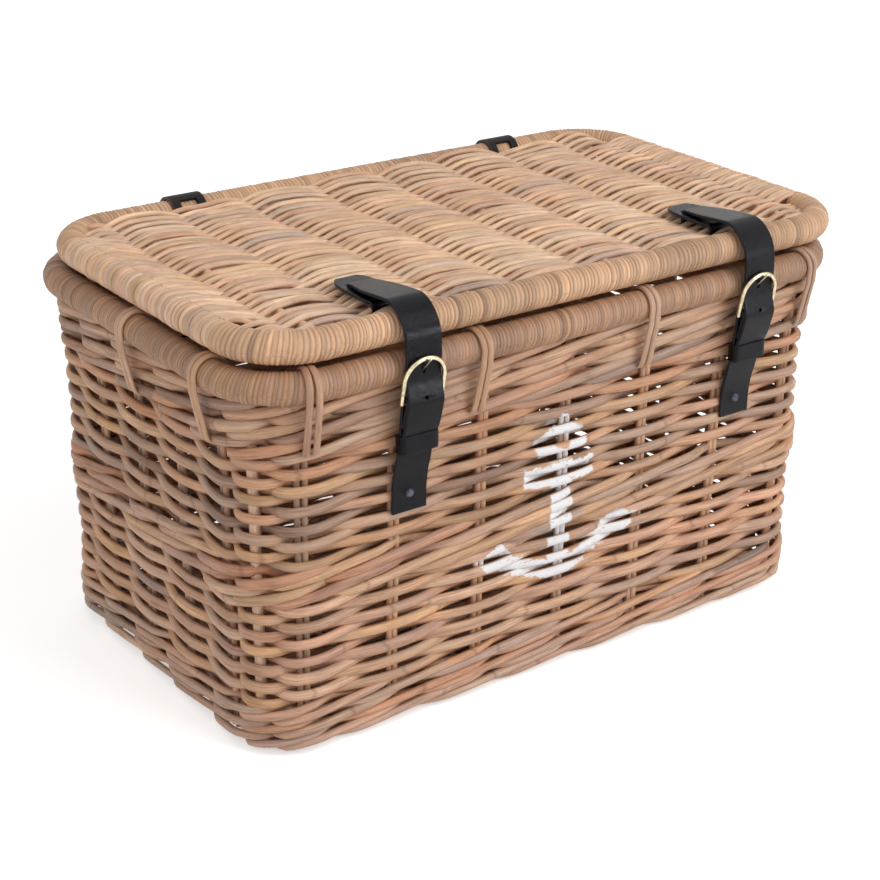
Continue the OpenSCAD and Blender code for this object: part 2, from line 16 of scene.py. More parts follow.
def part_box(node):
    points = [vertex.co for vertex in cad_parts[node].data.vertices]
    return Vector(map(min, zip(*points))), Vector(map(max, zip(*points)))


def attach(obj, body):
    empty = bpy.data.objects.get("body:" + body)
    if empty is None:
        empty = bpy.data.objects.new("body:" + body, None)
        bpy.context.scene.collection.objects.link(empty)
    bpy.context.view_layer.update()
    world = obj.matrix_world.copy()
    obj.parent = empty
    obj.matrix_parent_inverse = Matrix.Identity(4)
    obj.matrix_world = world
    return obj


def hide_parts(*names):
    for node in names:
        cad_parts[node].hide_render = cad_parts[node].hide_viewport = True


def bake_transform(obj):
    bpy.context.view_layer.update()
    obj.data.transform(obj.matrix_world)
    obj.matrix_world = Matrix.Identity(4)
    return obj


bl_info = {
    "name": "Wicker storage chest",
    "version": (1, 0, 0),
    "blender": (4, 5, 0),
    "location": "3D View > Sidebar > Chest",
    "description": "Weaves a storage chest with a lid, straps and buckles round its packed frame",
    "category": "Object",
}

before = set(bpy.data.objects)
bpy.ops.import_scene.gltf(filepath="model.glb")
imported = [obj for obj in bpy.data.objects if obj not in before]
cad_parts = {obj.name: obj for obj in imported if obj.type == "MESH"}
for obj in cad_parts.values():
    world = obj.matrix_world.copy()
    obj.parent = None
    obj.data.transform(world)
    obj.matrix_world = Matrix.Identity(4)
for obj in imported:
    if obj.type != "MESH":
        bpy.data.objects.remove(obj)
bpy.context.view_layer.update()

MM = 0.001
TAU = 2 * math.pi
# How far along the grain one cane may start from another, so that no two show the same streaks
FAR_GRAIN = 9000


def corners_of(node):
    """The lowest and highest corners of a node, in millimetres."""
    low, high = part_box(node)
    return np.array(low) / MM, np.array(high) / MM


# The rims of the body and of the lid, as centre lines, and the lid's panel
rim_low, rim_high = corners_of("body_rim_pole")
POLE = rim_high[2] - rim_low[2]
MIDDLE = np.array([*((rim_low + rim_high) / 2)[:2], 0.0])
RIM_W, RIM_D = (rim_high - rim_low)[:2] - POLE
RIM_Z = (rim_low[2] + rim_high[2]) / 2
RIM_CORNER = 58.0
lid_low, lid_high = corners_of("lid_rim_pole")
LID_MIDDLE = (lid_low + lid_high) / 2 - MIDDLE
LID_X, LID_Y, LID_Z = LID_MIDDLE
LID_W, LID_D = (lid_high - lid_low)[:2] - POLE
LID_CORNER = 52.0
wrap_low, wrap_high = corners_of("body_rim_binding")
WRAP_R = (wrap_high - wrap_low)[2] / 2
PANEL_LOW, PANEL_HIGH = (corner[2] for corner in corners_of("lid_weave"))
# Where the lid's sticks lie, to the right of the lid's middle
LID_STICKS = np.arange(-230.0, 300.0, 68.0)
# Where the straps lie, to the right of the body's middle
STRAPS = {"left": -156.0, "right": 177.0}
# Places where the lid's strands part (along, across, half length, push), how quickly that fades across
# the strands, and the rise of the lid's back edge
LID_GAPS = [
    (-218.0, -2.0, 22.0, 7.0),
    (-205.0, -66.0, 26.0, 7.5),
    (-202.0, -101.0, 24.0, 6.0),
    (-176.0, -133.0, 22.0, 6.5),
    (226.0, -110.0, 20.0, 5.0),
]
GAP_FADE, BACK_RISE = 9.0, 4.5
# Radius of the strands' line where they turn over an end of the lid
STRAND_BEND = WRAP_R - 1.9

# The painted anchor's middle line, and the face of the weave that its paint lies in front of
ANCHOR_X, PAINT_FROM = -6.0, -160.0
# Half the width of the floor, in metres
FLOOR_HALF = 6

# The stakes' line is this far inside the rim's centre line
STAKE_IN = 11.5
# The top of the stakes, the thickness of a corner's pole, and how far a weaver bulges at a corner
STAKE_TOP, CORNER_POLE, CORNER_OUT = 292.0, 8.8, 2.0
# The longest stretch of a weaver that lies straight at each side of a stake
FLAT_AT_STAKE = 4.5
# How many points a weaver of each kind has all round
SIDING_STEPS, WALE_STEPS = 310, 320
# How far the wall stands out of the stakes' line at some heights
WALL_HEIGHTS = [0, 12, 26, 85, 130, 159, 204, 250, 296]
WALL_SHIFTS = [-3.5, -1.0, 0.3, 0.0, 2.0, 2.2, 2.0, 3.6, 6.0]


def to_row(points):
    """Millimetres about the body's middle to metres in the frame."""
    return (np.asarray(points, float) + MIDDLE) * MM


def wall_shift(z):
    """How far the wall stands out at a height."""
    return np.interp(z, WALL_HEIGHTS, WALL_SHIFTS)


def linear(colour):
    """A colour written as it looks on screen, turned to the linear values that the shaders use."""
    c = np.asarray(colour, float)
    return np.where(c <= 0.04045, c / 12.92, ((c + 0.055) / 1.055) ** 2.4)


class Outline:
    """A rounded rectangle, measured along its line from the middle of the back and on by the left end."""

    def __init__(self, width, depth, corner, middle=(0.0, 0.0)):
        self.corner, self.middle = corner, np.array(middle)
        across, along, bend = width / 2 - corner, depth - 2 * corner, math.pi * corner / 2
        self.half_across, self.along = across, along
        lengths = [across, bend, along, bend, 2 * across, bend, along, bend, across]
        self.edges = np.concatenate([[0], np.cumsum(lengths)])
        self.length = self.edges[-1]
        self.bent = np.array([k % 2 for k in range(9)], bool)
        point, heading = np.array([0.0, depth / 2]), math.pi
        starts, headings = [], []
        for length, bent in zip(lengths, self.bent):
            starts.append(point)
            headings.append(heading)
            if bent:
                out = np.array([math.sin(heading), -math.cos(heading)])
                heading += math.pi / 2
                new = np.array([math.sin(heading), -math.cos(heading)])
                point = point + corner * (new - out)
            else:
                point = point + length * np.array([math.cos(heading), math.sin(heading)])
        self.starts, self.headings = np.array(starts), np.array(headings)

    def at(self, s, out=0.0):
        """Points at distances s along the line and out from it, and the outward normals there."""
        s = np.mod(np.asarray(s, float), self.length)
        k = np.clip(np.searchsorted(self.edges, s, "right") - 1, 0, 8)
        local, bent = s - self.edges[k], self.bent[k]
        first = self.headings[k]
        heading = first + np.where(bent, local / self.corner, 0)
        out0 = np.stack([np.sin(first), -np.cos(first)], -1)
        normal = np.stack([np.sin(heading), -np.cos(heading)], -1)
        ahead = np.stack([np.cos(first), np.sin(first)], -1)
        point = self.starts[k] + np.where(
            bent[..., None], self.corner * (normal - out0), local[..., None] * ahead
        )
        out = np.broadcast_to(out, s.shape)
        return self.middle + point + normal * out[..., None], normal

    def front(self, x):
        """How far along the line the front is, x to the right of the middle; back is alike.

        Left and right take y, to the back of the middle.
        """
        return self.edges[4] + self.half_across + x

    def back(self, x):
        return (-x) % self.length

    def left(self, y):
        return self.edges[2] + self.along / 2 - y

    def right(self, y):
        return self.edges[6] + self.along / 2 + y

    def corner_turn(self, place, turn):
        """The place in a corner that is turned by that many degrees from the front or the back."""
        swing = self.corner * math.radians(turn)
        return {
            "front left": self.edges[4] - swing,
            "front right": self.edges[5] + swing,
            "back left": self.edges[1] + swing,
            "back right": self.edges[8] - swing,
        }[place]


def line_round(outline, s, out, z):
    """Points round an outline, out from it and at a height, and the outward directions there."""
    place, normal = outline.at(s, out)
    path = np.concatenate([place, np.broadcast_to(z, s.shape)[:, None]], 1)
    return path, np.concatenate([normal, np.zeros((len(s), 1))], 1)


def lengths_along(line):
    """How far each point of a line is from its start, along it."""
    return np.concatenate([[0], np.cumsum(np.linalg.norm(np.diff(line, axis=0), axis=1))])


STAKE_LINE = Outline(RIM_W - 2 * STAKE_IN, RIM_D - 2 * STAKE_IN, RIM_CORNER - STAKE_IN)
RIM_LINE = Outline(RIM_W, RIM_D, RIM_CORNER)
LID_LINE = Outline(LID_W, LID_D, LID_CORNER, (LID_X, LID_Y))
# Where the pairs of stakes stand along the front and the back, and along the ends
FRONT_X = [-164, -82, 0, 82, 164]
END_Y = [-113.5, -48.5, 16.5, 81.5]
CORNERS = ("front left", "front right", "back left", "back right")
# How far round a corner its pair of stakes and its pole stand, in degrees
PAIR_TURN, POLE_TURN = 18, 58


def stake_places():
    """Where the stakes stand along the stakes' line, and whether each is a single thick pole."""
    line = STAKE_LINE
    places = [(line.front(x), False) for x in FRONT_X] + [(line.back(x), False) for x in FRONT_X]
    places += [(line.left(y), False) for y in END_Y] + [(line.right(y), False) for y in END_Y]
    for corner in CORNERS:
        places += [(line.corner_turn(corner, PAIR_TURN), False)]
        places += [(line.corner_turn(corner, POLE_TURN), True)]
    return sorted(places)


STAKES = stake_places()
STAKE_S = np.array([s for s, _ in STAKES])
# The stakes with the last one before the first and the first one after the last
STAKE_STOPS = np.concatenate([[STAKE_S[-1] - STAKE_LINE.length], STAKE_S, [STAKE_S[0] + STAKE_LINE.length]])


def ease(t):
    """A smooth step from 0 to 1."""
    t = np.clip(t, 0, 1)
    return (1 - np.cos(math.pi * t)) / 2


def wander(rng, at, length, size, closed=False):
    """A slow random swing of about that size, which turns about once in a length.

    Round a closed line it meets itself again.
    """
    knots = max(3, int(at[-1] / length) + 2)
    values = rng.normal(0, size, knots)
    if closed:
        values[-1] = values[0]
    fine = np.interp(at, np.linspace(at[0], at[-1], knots), values)
    step = max(1, len(at) // (2 * knots))
    kernel = np.hanning(2 * step + 1)
    return np.convolve(np.pad(fine, step, mode="edge"), kernel / kernel.sum(), mode="valid")


def some_of(rng, places, share):
    """Some of the places, where one cane ends and the next begins."""
    return [p for p in places if rng.random() < share]


class Canes:
    """The canes of one piece, gathered before they become one mesh.

    The palette's colours are chosen by their shares. Alike draws them together, from 0 to 1, and light
    makes them all lighter or darker.
    """

    MAIN_SHARE, LIGHTEST, DARKEST = 0.72, 1.13, 0.86

    def __init__(self, seed, palette, shares, alike=0.0, light=1.0):
        self.rng = np.random.default_rng(seed)
        self.shares = np.array(shares, float) / sum(shares)
        tones = np.array([linear(c) for c in palette]) * light
        middle = (tones * self.shares[:, None]).sum(0)
        self.palette = tones * (1 - alike) + middle * alike
        self.points, self.faces, self.grain, self.tone = [], [], [], []
        self.count = 0

    def colour(self):
        """A cane's colour: one of the palette with a little of another, lighter or darker."""
        a, b = self.rng.choice(len(self.palette), 2, p=self.shares)
        mixed = self.palette[a] * self.MAIN_SHARE + self.palette[b] * (1 - self.MAIN_SHARE)
        return mixed * self.rng.uniform(self.DARKEST, self.LIGHTEST)

    def colours_along(self, at, joins=()):
        """Colours along a cane that changes where a new cane is let in, and slowly in between."""
        tones = np.empty((len(at), 3))
        limits = [at[0] - 1, *sorted(joins), at[-1] + 1]
        for low, high in zip(limits[:-1], limits[1:]):
            inside = (at >= low) & (at < high)
            tones[inside] = self.colour()
        other = self.colour()
        share = np.clip(0.28 + wander(self.rng, at - at[0], 70, 0.28), 0, 0.75)[:, None]
        return tones * (1 - share) + other * share

    def add(self, path, outward, half, tone, sides=8, closed=False, cap=True):
        """One cane along a path; half is its half thickness outward and its half width sideways."""
        path, outward = np.asarray(path, float), np.asarray(outward, float)
        n = len(path)
        if closed:
            ahead = np.roll(path, -1, 0) - np.roll(path, 1, 0)
        else:
            ahead = np.gradient(path, axis=0)
        ahead /= np.linalg.norm(ahead, axis=1)[:, None]
        outward = np.broadcast_to(outward, path.shape)
        outward = outward - (outward * ahead).sum(1)[:, None] * ahead
        outward = outward / np.linalg.norm(outward, axis=1)[:, None]
        side = np.cross(ahead, outward)
        half = np.broadcast_to(np.asarray(half, float), (n, 2))
        turn = (np.arange(sides) + 0.5) * TAU / sides
        a, b = half[:, :1] * np.cos(turn), half[:, 1:] * np.sin(turn)
        points = path[:, None] + a[..., None] * outward[:, None] + b[..., None] * side[:, None]
        along = lengths_along(path) + self.rng.uniform(0, FAR_GRAIN)
        grain = np.stack([np.broadcast_to(along[:, None], a.shape), a, b], -1)
        tone = np.broadcast_to(np.asarray(tone, float), (n, 3))
        tone = np.repeat(tone, sides, 0)
        self.tube(points.reshape(-1, 3), grain.reshape(-1, 3), tone, sides, closed, cap)

    def tube(self, points, grain, tone, sides, closed, cap=True, inside_out=False):
        """Rings of points as a tube, closed on itself or with its ends capped."""
        n = len(points) // sides
        i, k = np.arange(n if closed else n - 1)[:, None], np.arange(sides)[None, :]
        here, ahead, over = i * sides, (i + 1) % n * sides, (k + 1) % sides
        quads = [here + k, here + over, ahead + over, ahead + k]
        ends = [np.arange(sides)[::-1], np.arange(sides) + (n - 1) * sides]
        if inside_out:
            quads, ends = [quads[c] for c in (0, 3, 2, 1)], [end[::-1] for end in ends]
        self.faces += (np.stack(quads, -1).reshape(-1, 4) + self.count).tolist()
        if cap and not closed:
            self.faces += [(end + self.count).tolist() for end in ends]
        self.points.append(points)
        self.grain.append(grain)
        self.tone.append(tone)
        self.count += len(points)

    def piece(self, name, finish, slot, body, *nodes):
        """The gathered canes as one piece that stands for the nodes and rides on the body."""
        obj = mesh_piece(name, np.concatenate(self.points), self.faces, finish)
        mark(obj, np.concatenate(self.grain), tone=np.concatenate(self.tone))
        return settle(obj, slot, body, *nodes)


def mesh_piece(name, points, faces, finish):
    """A smooth mesh object from points in millimetres."""
    mesh = bpy.data.meshes.new(name)
    mesh.from_pydata(to_row(points).tolist(), [], faces)
    mesh.polygons.foreach_set("use_smooth", [True] * len(mesh.polygons))
    mesh.materials.append(finish)
    obj = bpy.data.objects.new(name, mesh)
    bpy.context.scene.collection.objects.link(obj)
    return obj


def mark(obj, grain, tone=None, edge=None):
    """Writes what the materials read at each point: the grain's lie in metres, the colour, the edges."""
    for name, kind, part, values in (
        ("grain", "FLOAT_VECTOR", "vector", np.asarray(grain) * MM),
        ("tone", "FLOAT_COLOR", "color", None if tone is None else np.insert(tone, 3, 1.0, 1)),
        ("edge", "FLOAT", "value", edge),
    ):
        if values is not None:
            made = obj.data.attributes.new(name, kind, "POINT")
            made.data.foreach_set(part, np.asarray(values, np.float32).ravel())


def settle(obj, slot, body, *nodes):
    """Hides the nodes that a piece stands for and hangs it on the body it rides on; slot is not used."""
    if nodes:
        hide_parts(*nodes)
    if body:
        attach(obj, body)
    return obj


class Value:
    """A number from a shader's socket; the usual signs join it to others with math nodes."""

    def __init__(self, nodes, socket):
        self.nodes, self.socket = nodes, socket

    def __add__(self, other):
        return self.nodes.math("ADD", self, other)

    def __sub__(self, other):
        return self.nodes.math("SUBTRACT", self, other)

    def __rsub__(self, other):
        return self.nodes.math("SUBTRACT", other, self)

    def __mul__(self, other):
        return self.nodes.math("MULTIPLY", self, other)

    def __truediv__(self, other):
        return self.nodes.math("DIVIDE", self, other)

    def __abs__(self):
        return self.nodes.math("ABSOLUTE", self)


class Nodes:
    """Builds a shader's nodes with fewer words."""

    def __init__(self, tree):
        self.tree = tree

    def join(self, value, socket):
        """Links a value to a socket, or writes a number or a colour on it."""
        value = value.socket if isinstance(value, Value) else value
        if isinstance(value, bpy.types.NodeSocket):
            self.tree.links.new(value, socket)
        else:
            socket.default_value = value

    def add(self, kind, inputs=None, **settings):
        """A node with its settings and inputs."""
        node = self.tree.nodes.new(kind)
        for name, value in settings.items():
            setattr(node, name, value)
        for key, value in (inputs or {}).items():
            self.join(value, node.inputs[key])
        return node

    def math(self, operation, *values):
        node = self.add("ShaderNodeMath", dict(enumerate(values)), operation=operation)
        return Value(self, node.outputs[0])

    def mark(self, name, part):
        """What mark wrote at the points under that name."""
        return self.add("ShaderNodeAttribute", attribute_name=name).outputs[part]

    def parts(self, vector):
        """A vector's three numbers."""
        return [Value(self, part) for part in self.add("ShaderNodeSeparateXYZ", {0: vector}).outputs]

    def finer(self, vector, factors):
        """A vector made longer, so that a pattern that reads it gets finer."""
        node = self.add("ShaderNodeVectorMath", {0: vector, 1: factors}, operation="MULTIPLY")
        return node.outputs[0]

    def noise(self, vector, factors, detail, roughness, distortion=0.0):
        """Noise that is about factors fine, in spots per metre each way."""
        inputs = {
            "Vector": self.finer(vector, factors),
            "Scale": 1.0,
            "Detail": detail,
            "Roughness": roughness,
            "Distortion": distortion,
        }
        return Value(self, self.add("ShaderNodeTexNoise", inputs).outputs[0])

    def spread(self, value, low, high, to_low=0.0, to_high=1.0, smooth=False):
        """A value between low and high, stretched to lie between two others."""
        kind = "SMOOTHSTEP" if smooth else "LINEAR"
        inputs = {"Value": value, 1: low, 2: high, 3: to_low, 4: to_high}
        return Value(self, self.add("ShaderNodeMapRange", inputs, interpolation_type=kind).outputs[0])

    def mix(self, factor, a, b, blend="MIX"):
        """A colour between two others."""
        settings = {"data_type": "RGBA", "blend_type": blend, "clamp_factor": True}
        return self.add("ShaderNodeMix", {0: factor, 6: a, 7: b}, **settings).outputs[2]

    def tint(self, colour, by):
        """A colour made lighter or darker."""
        return self.mix(1.0, colour, (*by, 1), "MULTIPLY")


def rgba(colour):
    """A colour written as it looks, for a shader's socket."""
    return (*linear(colour), 1.0)


FINISH = [("Colour", "NodeSocketColor"), ("Roughness", "NodeSocketFloat"), ("Height", "NodeSocketFloat")]


def new_group(name, inputs, outputs):
    """An empty shader node group with its sockets; gives the group, its nodes and its ends."""
    tree = bpy.data.node_groups.new(name, "ShaderNodeTree")
    for label, kind, value in inputs:
        tree.interface.new_socket(label, in_out="INPUT", socket_type=kind).default_value = value
    for label, kind in outputs:
        tree.interface.new_socket(label, in_out="OUTPUT", socket_type=kind)
    nodes = Nodes(tree)
    return tree, nodes, nodes.add("NodeGroupInput").outputs, nodes.add("NodeGroupOutput").inputs


def cane_surface():
    """Colour, roughness and height of a cane: streaks, blotches, grey patches and rings at its joints."""
    if "cane_surface" in bpy.data.node_groups:
        return bpy.data.node_groups["cane_surface"]
    tree, n, given, result = new_group(
        "cane_surface",
        [
            ("Tone", "NodeSocketColor", (0.5, 0.4, 0.3, 1)),
            ("Streaks", "NodeSocketFloat", 0.5),
            ("Greying", "NodeSocketFloat", 0.3),
            ("Grey", "NodeSocketColor", (0.3, 0.27, 0.25, 1)),
            ("Rings", "NodeSocketFloat", 1.0),
        ],
        FINISH,
    )
    grain = n.mark("grain", "Vector")
    streak = n.noise(grain, (26.0, 750.0, 750.0), 5.0, 0.66)
    fine = n.noise(grain, (95.0, 3600.0, 3600.0), 2.0, 0.5)
    patch = n.noise(grain, (11.0, 130.0, 130.0), 3.0, 0.55)
    blotch = n.noise(grain, (34.0, 190.0, 190.0), 3.0, 0.6)
    rings_per_metre = 3.7
    place = n.math("FRACT", n.parts(grain)[0] * rings_per_metre + patch * 0.06)
    ring = n.spread(abs(place - 0.5), 0.0, 0.011, 1.0, 0.0, True) * given["Rings"]
    dark = n.spread(streak, 0.44, 0.72, smooth=True)
    light = n.spread(streak, 0.46, 0.28, smooth=True) * given["Streaks"]
    strength = n.math("MAXIMUM", dark, n.spread(fine, 0.55, 0.75, 0.0, 0.55)) * given["Streaks"]
    colour = n.mix(strength, given["Tone"], n.tint(given["Tone"], (0.36, 0.29, 0.24)))
    pale, deep = n.spread(blotch, 0.5, 0.68, 0.0, 0.75, True), n.spread(blotch, 0.48, 0.32, 0.0, 0.7, True)
    for share, by in ((light, (1.32, 1.3, 1.27)), (pale, (1.28, 1.27, 1.24)), (deep, (0.74, 0.69, 0.66))):
        colour = n.mix(share, colour, n.tint(colour, by))
    greyed = n.spread(patch, 0.45, 0.72, smooth=True) * given["Greying"]
    colour = n.mix(greyed, colour, given["Grey"])
    n.join(n.mix(ring * 0.34, colour, (0.09, 0.055, 0.035, 1)), result["Colour"])
    n.join(streak * 0.35 + 0.36, result["Roughness"])
    n.join(fine * 0.25 - strength * 0.6 + ring * 0.7, result["Height"])
    return tree


def anchor_paint():
    """A plain painted anchor on the front, drawn in millimetres: 1 where the paint lies."""
    if "anchor_paint" in bpy.data.node_groups:
        return bpy.data.node_groups["anchor_paint"]
    tree, n, given, result = new_group(
        "anchor_paint",
        [("Middle", "NodeSocketFloat", 0.0), ("Face", "NodeSocketFloat", -0.16)],
        [("Paint", "NodeSocketFloat")],
    )
    place = n.add("ShaderNodeTexCoord").outputs["Object"]
    parts = n.parts(place)
    x = (parts[0] - given["Middle"]) * 1000.0
    z = parts[2] * 1000.0 + (n.noise(place, (160.0, 160.0, 260.0), 3.0, 0.6) - 0.5) * 9.0
    aside = abs(x)

    def bar(height, half_width, half_height):
        """How far a point is outside an upright box."""
        return n.math("MAXIMUM", aside - half_width, abs(z - height) - half_height)

    def away(height, squash):
        """How far a point is from a height on the anchor's middle line."""
        across, up = x * squash, z - height
        return n.math("SQRT", across * across + up * up)

    shaft, stock = bar(136.0, 10.5, 52.0), bar(178.5, 34.0, 8.0)
    knob = away(221.0, 0.8) - 8.0
    ring = abs(away(204.5, 0.64) - 10.5) - 5.2
    rise = z - (aside * 0.3 + aside * aside * 0.0008 + 91.0)
    thick = n.math("MINIMUM", 8.0, (85.0 - aside) * 0.55)
    fluke = n.math("MAXIMUM", 1.0 - abs(aside - 58.0) / 17.0, 0.0) * 11.0
    arms = n.math("MAXIMUM", rise - (thick + fluke), rise * -1.0 - thick)
    shape = shaft
    for part in (knob, ring, stock, arms):
        shape = n.math("MINIMUM", shape, part)
    inside = n.spread(shape, 1.2, -0.6)
    facing = n.spread(n.parts(n.add("ShaderNodeNewGeometry").outputs["Normal"])[1], -0.12, -0.42)
    near = n.spread(parts[1] - given["Face"], 0.0, -0.003)
    worn = n.spread(n.noise(place, (150.0, 150.0, 800.0), 4.0, 0.6), 0.7, 0.6)
    n.join(inside * facing * (near * worn), result["Paint"])
    return tree


def leather_surface():
    """Colour, roughness and height of leather: fine pores, soft creases and rubbed edges."""
    if "leather_surface" in bpy.data.node_groups:
        return bpy.data.node_groups["leather_surface"]
    tree, n, given, result = new_group(
        "leather_surface",
        [
            ("Hide", "NodeSocketColor", (0.02, 0.02, 0.02, 1)),
            ("Rubbed", "NodeSocketColor", (0.1, 0.09, 0.08, 1)),
            ("Wear", "NodeSocketFloat", 0.5),
            ("Gloss", "NodeSocketFloat", 0.45),
        ],
        FINISH,
    )
    grain, hide = n.mark("grain", "Vector"), given["Hide"]
    cells = {"Vector": n.finer(grain, (1500.0, 1500.0, 1500.0)), "Scale": 1.0}
    pores = n.add("ShaderNodeTexVoronoi", cells, feature="DISTANCE_TO_EDGE").outputs["Distance"]
    cloud = n.noise(grain, (90.0, 60.0, 90.0), 4.0, 0.6)
    crease = n.noise(grain, (120.0, 520.0, 120.0), 3.0, 0.6, 0.6)
    rub = n.spread(cloud * 0.5 + n.mark("edge", "Fac"), 0.75, 1.3) * given["Wear"]
    colour = n.mix(n.spread(cloud, 0.35, 0.7, 0.0, 0.45), hide, n.tint(hide, (1.9, 1.8, 1.7)))
    n.join(n.mix(rub, colour, given["Rubbed"]), result["Colour"])
    n.join((cloud - 0.5) * 0.28 + given["Gloss"], result["Roughness"])
    n.join(n.spread(pores, 0.0, 0.14) * 0.5 - n.spread(crease, 0.6, 0.75) * 0.9, result["Height"])
    return tree


def material(name):
    """A new material: its nodes and its shader."""
    made = bpy.data.materials.new(name)
    made.use_nodes = True
    return made, Nodes(made.node_tree), made.node_tree.nodes["Principled BSDF"]


def finish_surface(nodes, shader, colour, rough, height, depth, **plain):
    """Feeds the shader with a colour, a roughness and a height, and writes its plain values."""
    bump = nodes.add("ShaderNodeBump", {"Height": height, "Strength": 0.7, "Distance": depth})
    feeds = {"Base Color": colour, "Roughness": rough, "Normal": bump.outputs[0], **plain}
    for name, value in feeds.items():
        nodes.join(value, shader.inputs[name])


def cane_material(name, looks, streaks, greying, rings=1.0, painted=False, one_tone=None):
    """Cane of a piece's own tones or of one tone, with paint on it where asked."""
    if name in bpy.data.materials:
        return bpy.data.materials[name]
    made, n, shader = material(name)
    inputs = {
        "Tone": n.mark("tone", "Color") if one_tone is None else rgba(one_tone),
        "Streaks": streaks,
        "Greying": greying,
        "Grey": rgba(looks.grey_cane),
        "Rings": rings,
    }
    cane = n.add("ShaderNodeGroup", inputs, node_tree=cane_surface())
    colour, rough = cane.outputs["Colour"], cane.outputs["Roughness"]
    if painted:
        where = {"Middle": (MIDDLE[0] + ANCHOR_X) * MM, "Face": (MIDDLE[1] + PAINT_FROM) * MM}
        paint = n.add("ShaderNodeGroup", where, node_tree=anchor_paint())
        cover = Value(n, paint.outputs["Paint"])
        colour = n.mix(cover, colour, rgba(looks.paint))
        rough = cover * 0.1 + rough
    shine = {"Specular IOR Level": 0.42}
    finish_surface(n, shader, colour, rough, cane.outputs["Height"], 0.0004, **shine)
    return made


def leather_material(name, hide, rubbed, gloss, wear):
    """Leather with rubbed edges; a lower gloss value shines more."""
    if name in bpy.data.materials:
        return bpy.data.materials[name]
    made, n, shader = material(name)
    inputs = {"Hide": rgba(hide), "Rubbed": rgba(rubbed), "Gloss": gloss, "Wear": wear}
    skin = n.add("ShaderNodeGroup", inputs, node_tree=leather_surface())
    shine = {"Specular IOR Level": 0.12}
    finish_surface(n, shader, *(skin.outputs[label] for label, _ in FINISH), 0.00016, **shine)
    return made


def metal_material(name, bright, dull, gloss):
    """Metal with a dull skin that is rubbed off in places."""
    if name in bpy.data.materials:
        return bpy.data.materials[name]
    made, n, shader = material(name)
    place = n.add("ShaderNodeTexCoord").outputs["Object"]
    cloud = n.noise(place, (260.0, 260.0, 260.0), 5.0, 0.65)
    pits = n.noise(place, (1900.0, 1900.0, 1900.0), 3.0, 0.6)
    skin = n.spread(cloud, 0.45, 0.7, 0.0, 0.8)
    rough = skin * 0.22 + (pits * 0.16 + gloss)
    colour = n.mix(skin, rgba(bright), rgba(dull))
    finish_surface(n, shader, colour, rough, pits * 0.6, 0.0002, Metallic=1.0)
    return made


class CaneSizes(PropertyGroup):
    """Sizes of the canes and how they are laid."""

    weaver_thickness: FloatProperty(
        name="Weaver thickness", description="Thickness of a wall weaver, out of the wall",
        default=0.006, unit="LENGTH",
    )
    weaver_height: FloatProperty(
        name="Weaver height", description="Height of a wall weaver", default=0.0088, unit="LENGTH"
    )
    weaver_swing: FloatProperty(
        name="Weaver swing", description="How far a weaver passes in front of and behind the stakes",
        default=0.0052, unit="LENGTH",
    )
    stake_thickness: FloatProperty(
        name="Stake thickness", description="Thickness of one cane of a stake", default=0.005, unit="LENGTH"
    )
    pair_pitch: FloatProperty(
        name="Pair pitch", description="Distance between a stake's two canes", default=0.0054, unit="LENGTH"
    )
    siding_rows: IntProperty(
        name="Rows in an open weave", description="Weavers in each open weave", default=12, min=6, max=16
    )
    lid_strands: IntProperty(
        name="Lid strands", description="Strands across the depth of the lid", default=57, min=40, max=70
    )
    wrap_pitch: FloatProperty(
        name="Wrap pitch", description="Distance from one turn of cane to the next on a rim",
        default=0.0034, unit="LENGTH",
    )
    seed: IntProperty(
        name="Seed", description="Number that the canes' small differences start from", default=7, min=0
    )


class ChestColours(PropertyGroup):
    """Colours of the cane, the paint, the leather and the metal."""

    pink_cane: FloatVectorProperty(
        name="Pink cane", description="Most common colour of the walls",
        size=3, subtype="COLOR_GAMMA", min=0, max=1, default=(0.84, 0.65, 0.53),
    )
    pale_cane: FloatVectorProperty(
        name="Pale cane", description="Palest canes",
        size=3, subtype="COLOR_GAMMA", min=0, max=1, default=(0.92, 0.77, 0.64),
    )
    gold_cane: FloatVectorProperty(
        name="Gold cane", description="Golden canes, most common on the lid",
        size=3, subtype="COLOR_GAMMA", min=0, max=1, default=(0.87, 0.69, 0.5),
    )
    orange_cane: FloatVectorProperty(
        name="Orange cane", description="Warmest canes",
        size=3, subtype="COLOR_GAMMA", min=0, max=1, default=(0.86, 0.58, 0.4),
    )
    grey_cane: FloatVectorProperty(
        name="Grey cane", description="Weathered canes and patches",
        size=3, subtype="COLOR_GAMMA", min=0, max=1, default=(0.67, 0.58, 0.54),
    )
    dark_cane: FloatVectorProperty(
        name="Dark cane", description="Darkest canes",
        size=3, subtype="COLOR_GAMMA", min=0, max=1, default=(0.42, 0.32, 0.27),
    )
    paint: FloatVectorProperty(
        name="Paint", description="Paint of the anchor",
        size=3, subtype="COLOR_GAMMA", min=0, max=1, default=(0.94, 0.94, 0.95),
    )
    hide: FloatVectorProperty(
        name="Black leather", description="Front straps",
        size=3, subtype="COLOR_GAMMA", min=0, max=1, default=(0.035, 0.035, 0.06),
    )
    old_hide: FloatVectorProperty(
        name="Old leather", description="Hinge straps",
        size=3, subtype="COLOR_GAMMA", min=0, max=1, default=(0.13, 0.11, 0.11),
    )
    brass: FloatVectorProperty(
        name="Brass", description="Rubbed metal of the buckles",
        size=3, subtype="COLOR_GAMMA", min=0, max=1, default=(0.87, 0.82, 0.69),
    )
    old_brass: FloatVectorProperty(
        name="Dull brass", description="Dull skin on the buckles",
        size=3, subtype="COLOR_GAMMA", min=0, max=1, default=(0.58, 0.51, 0.38),
    )


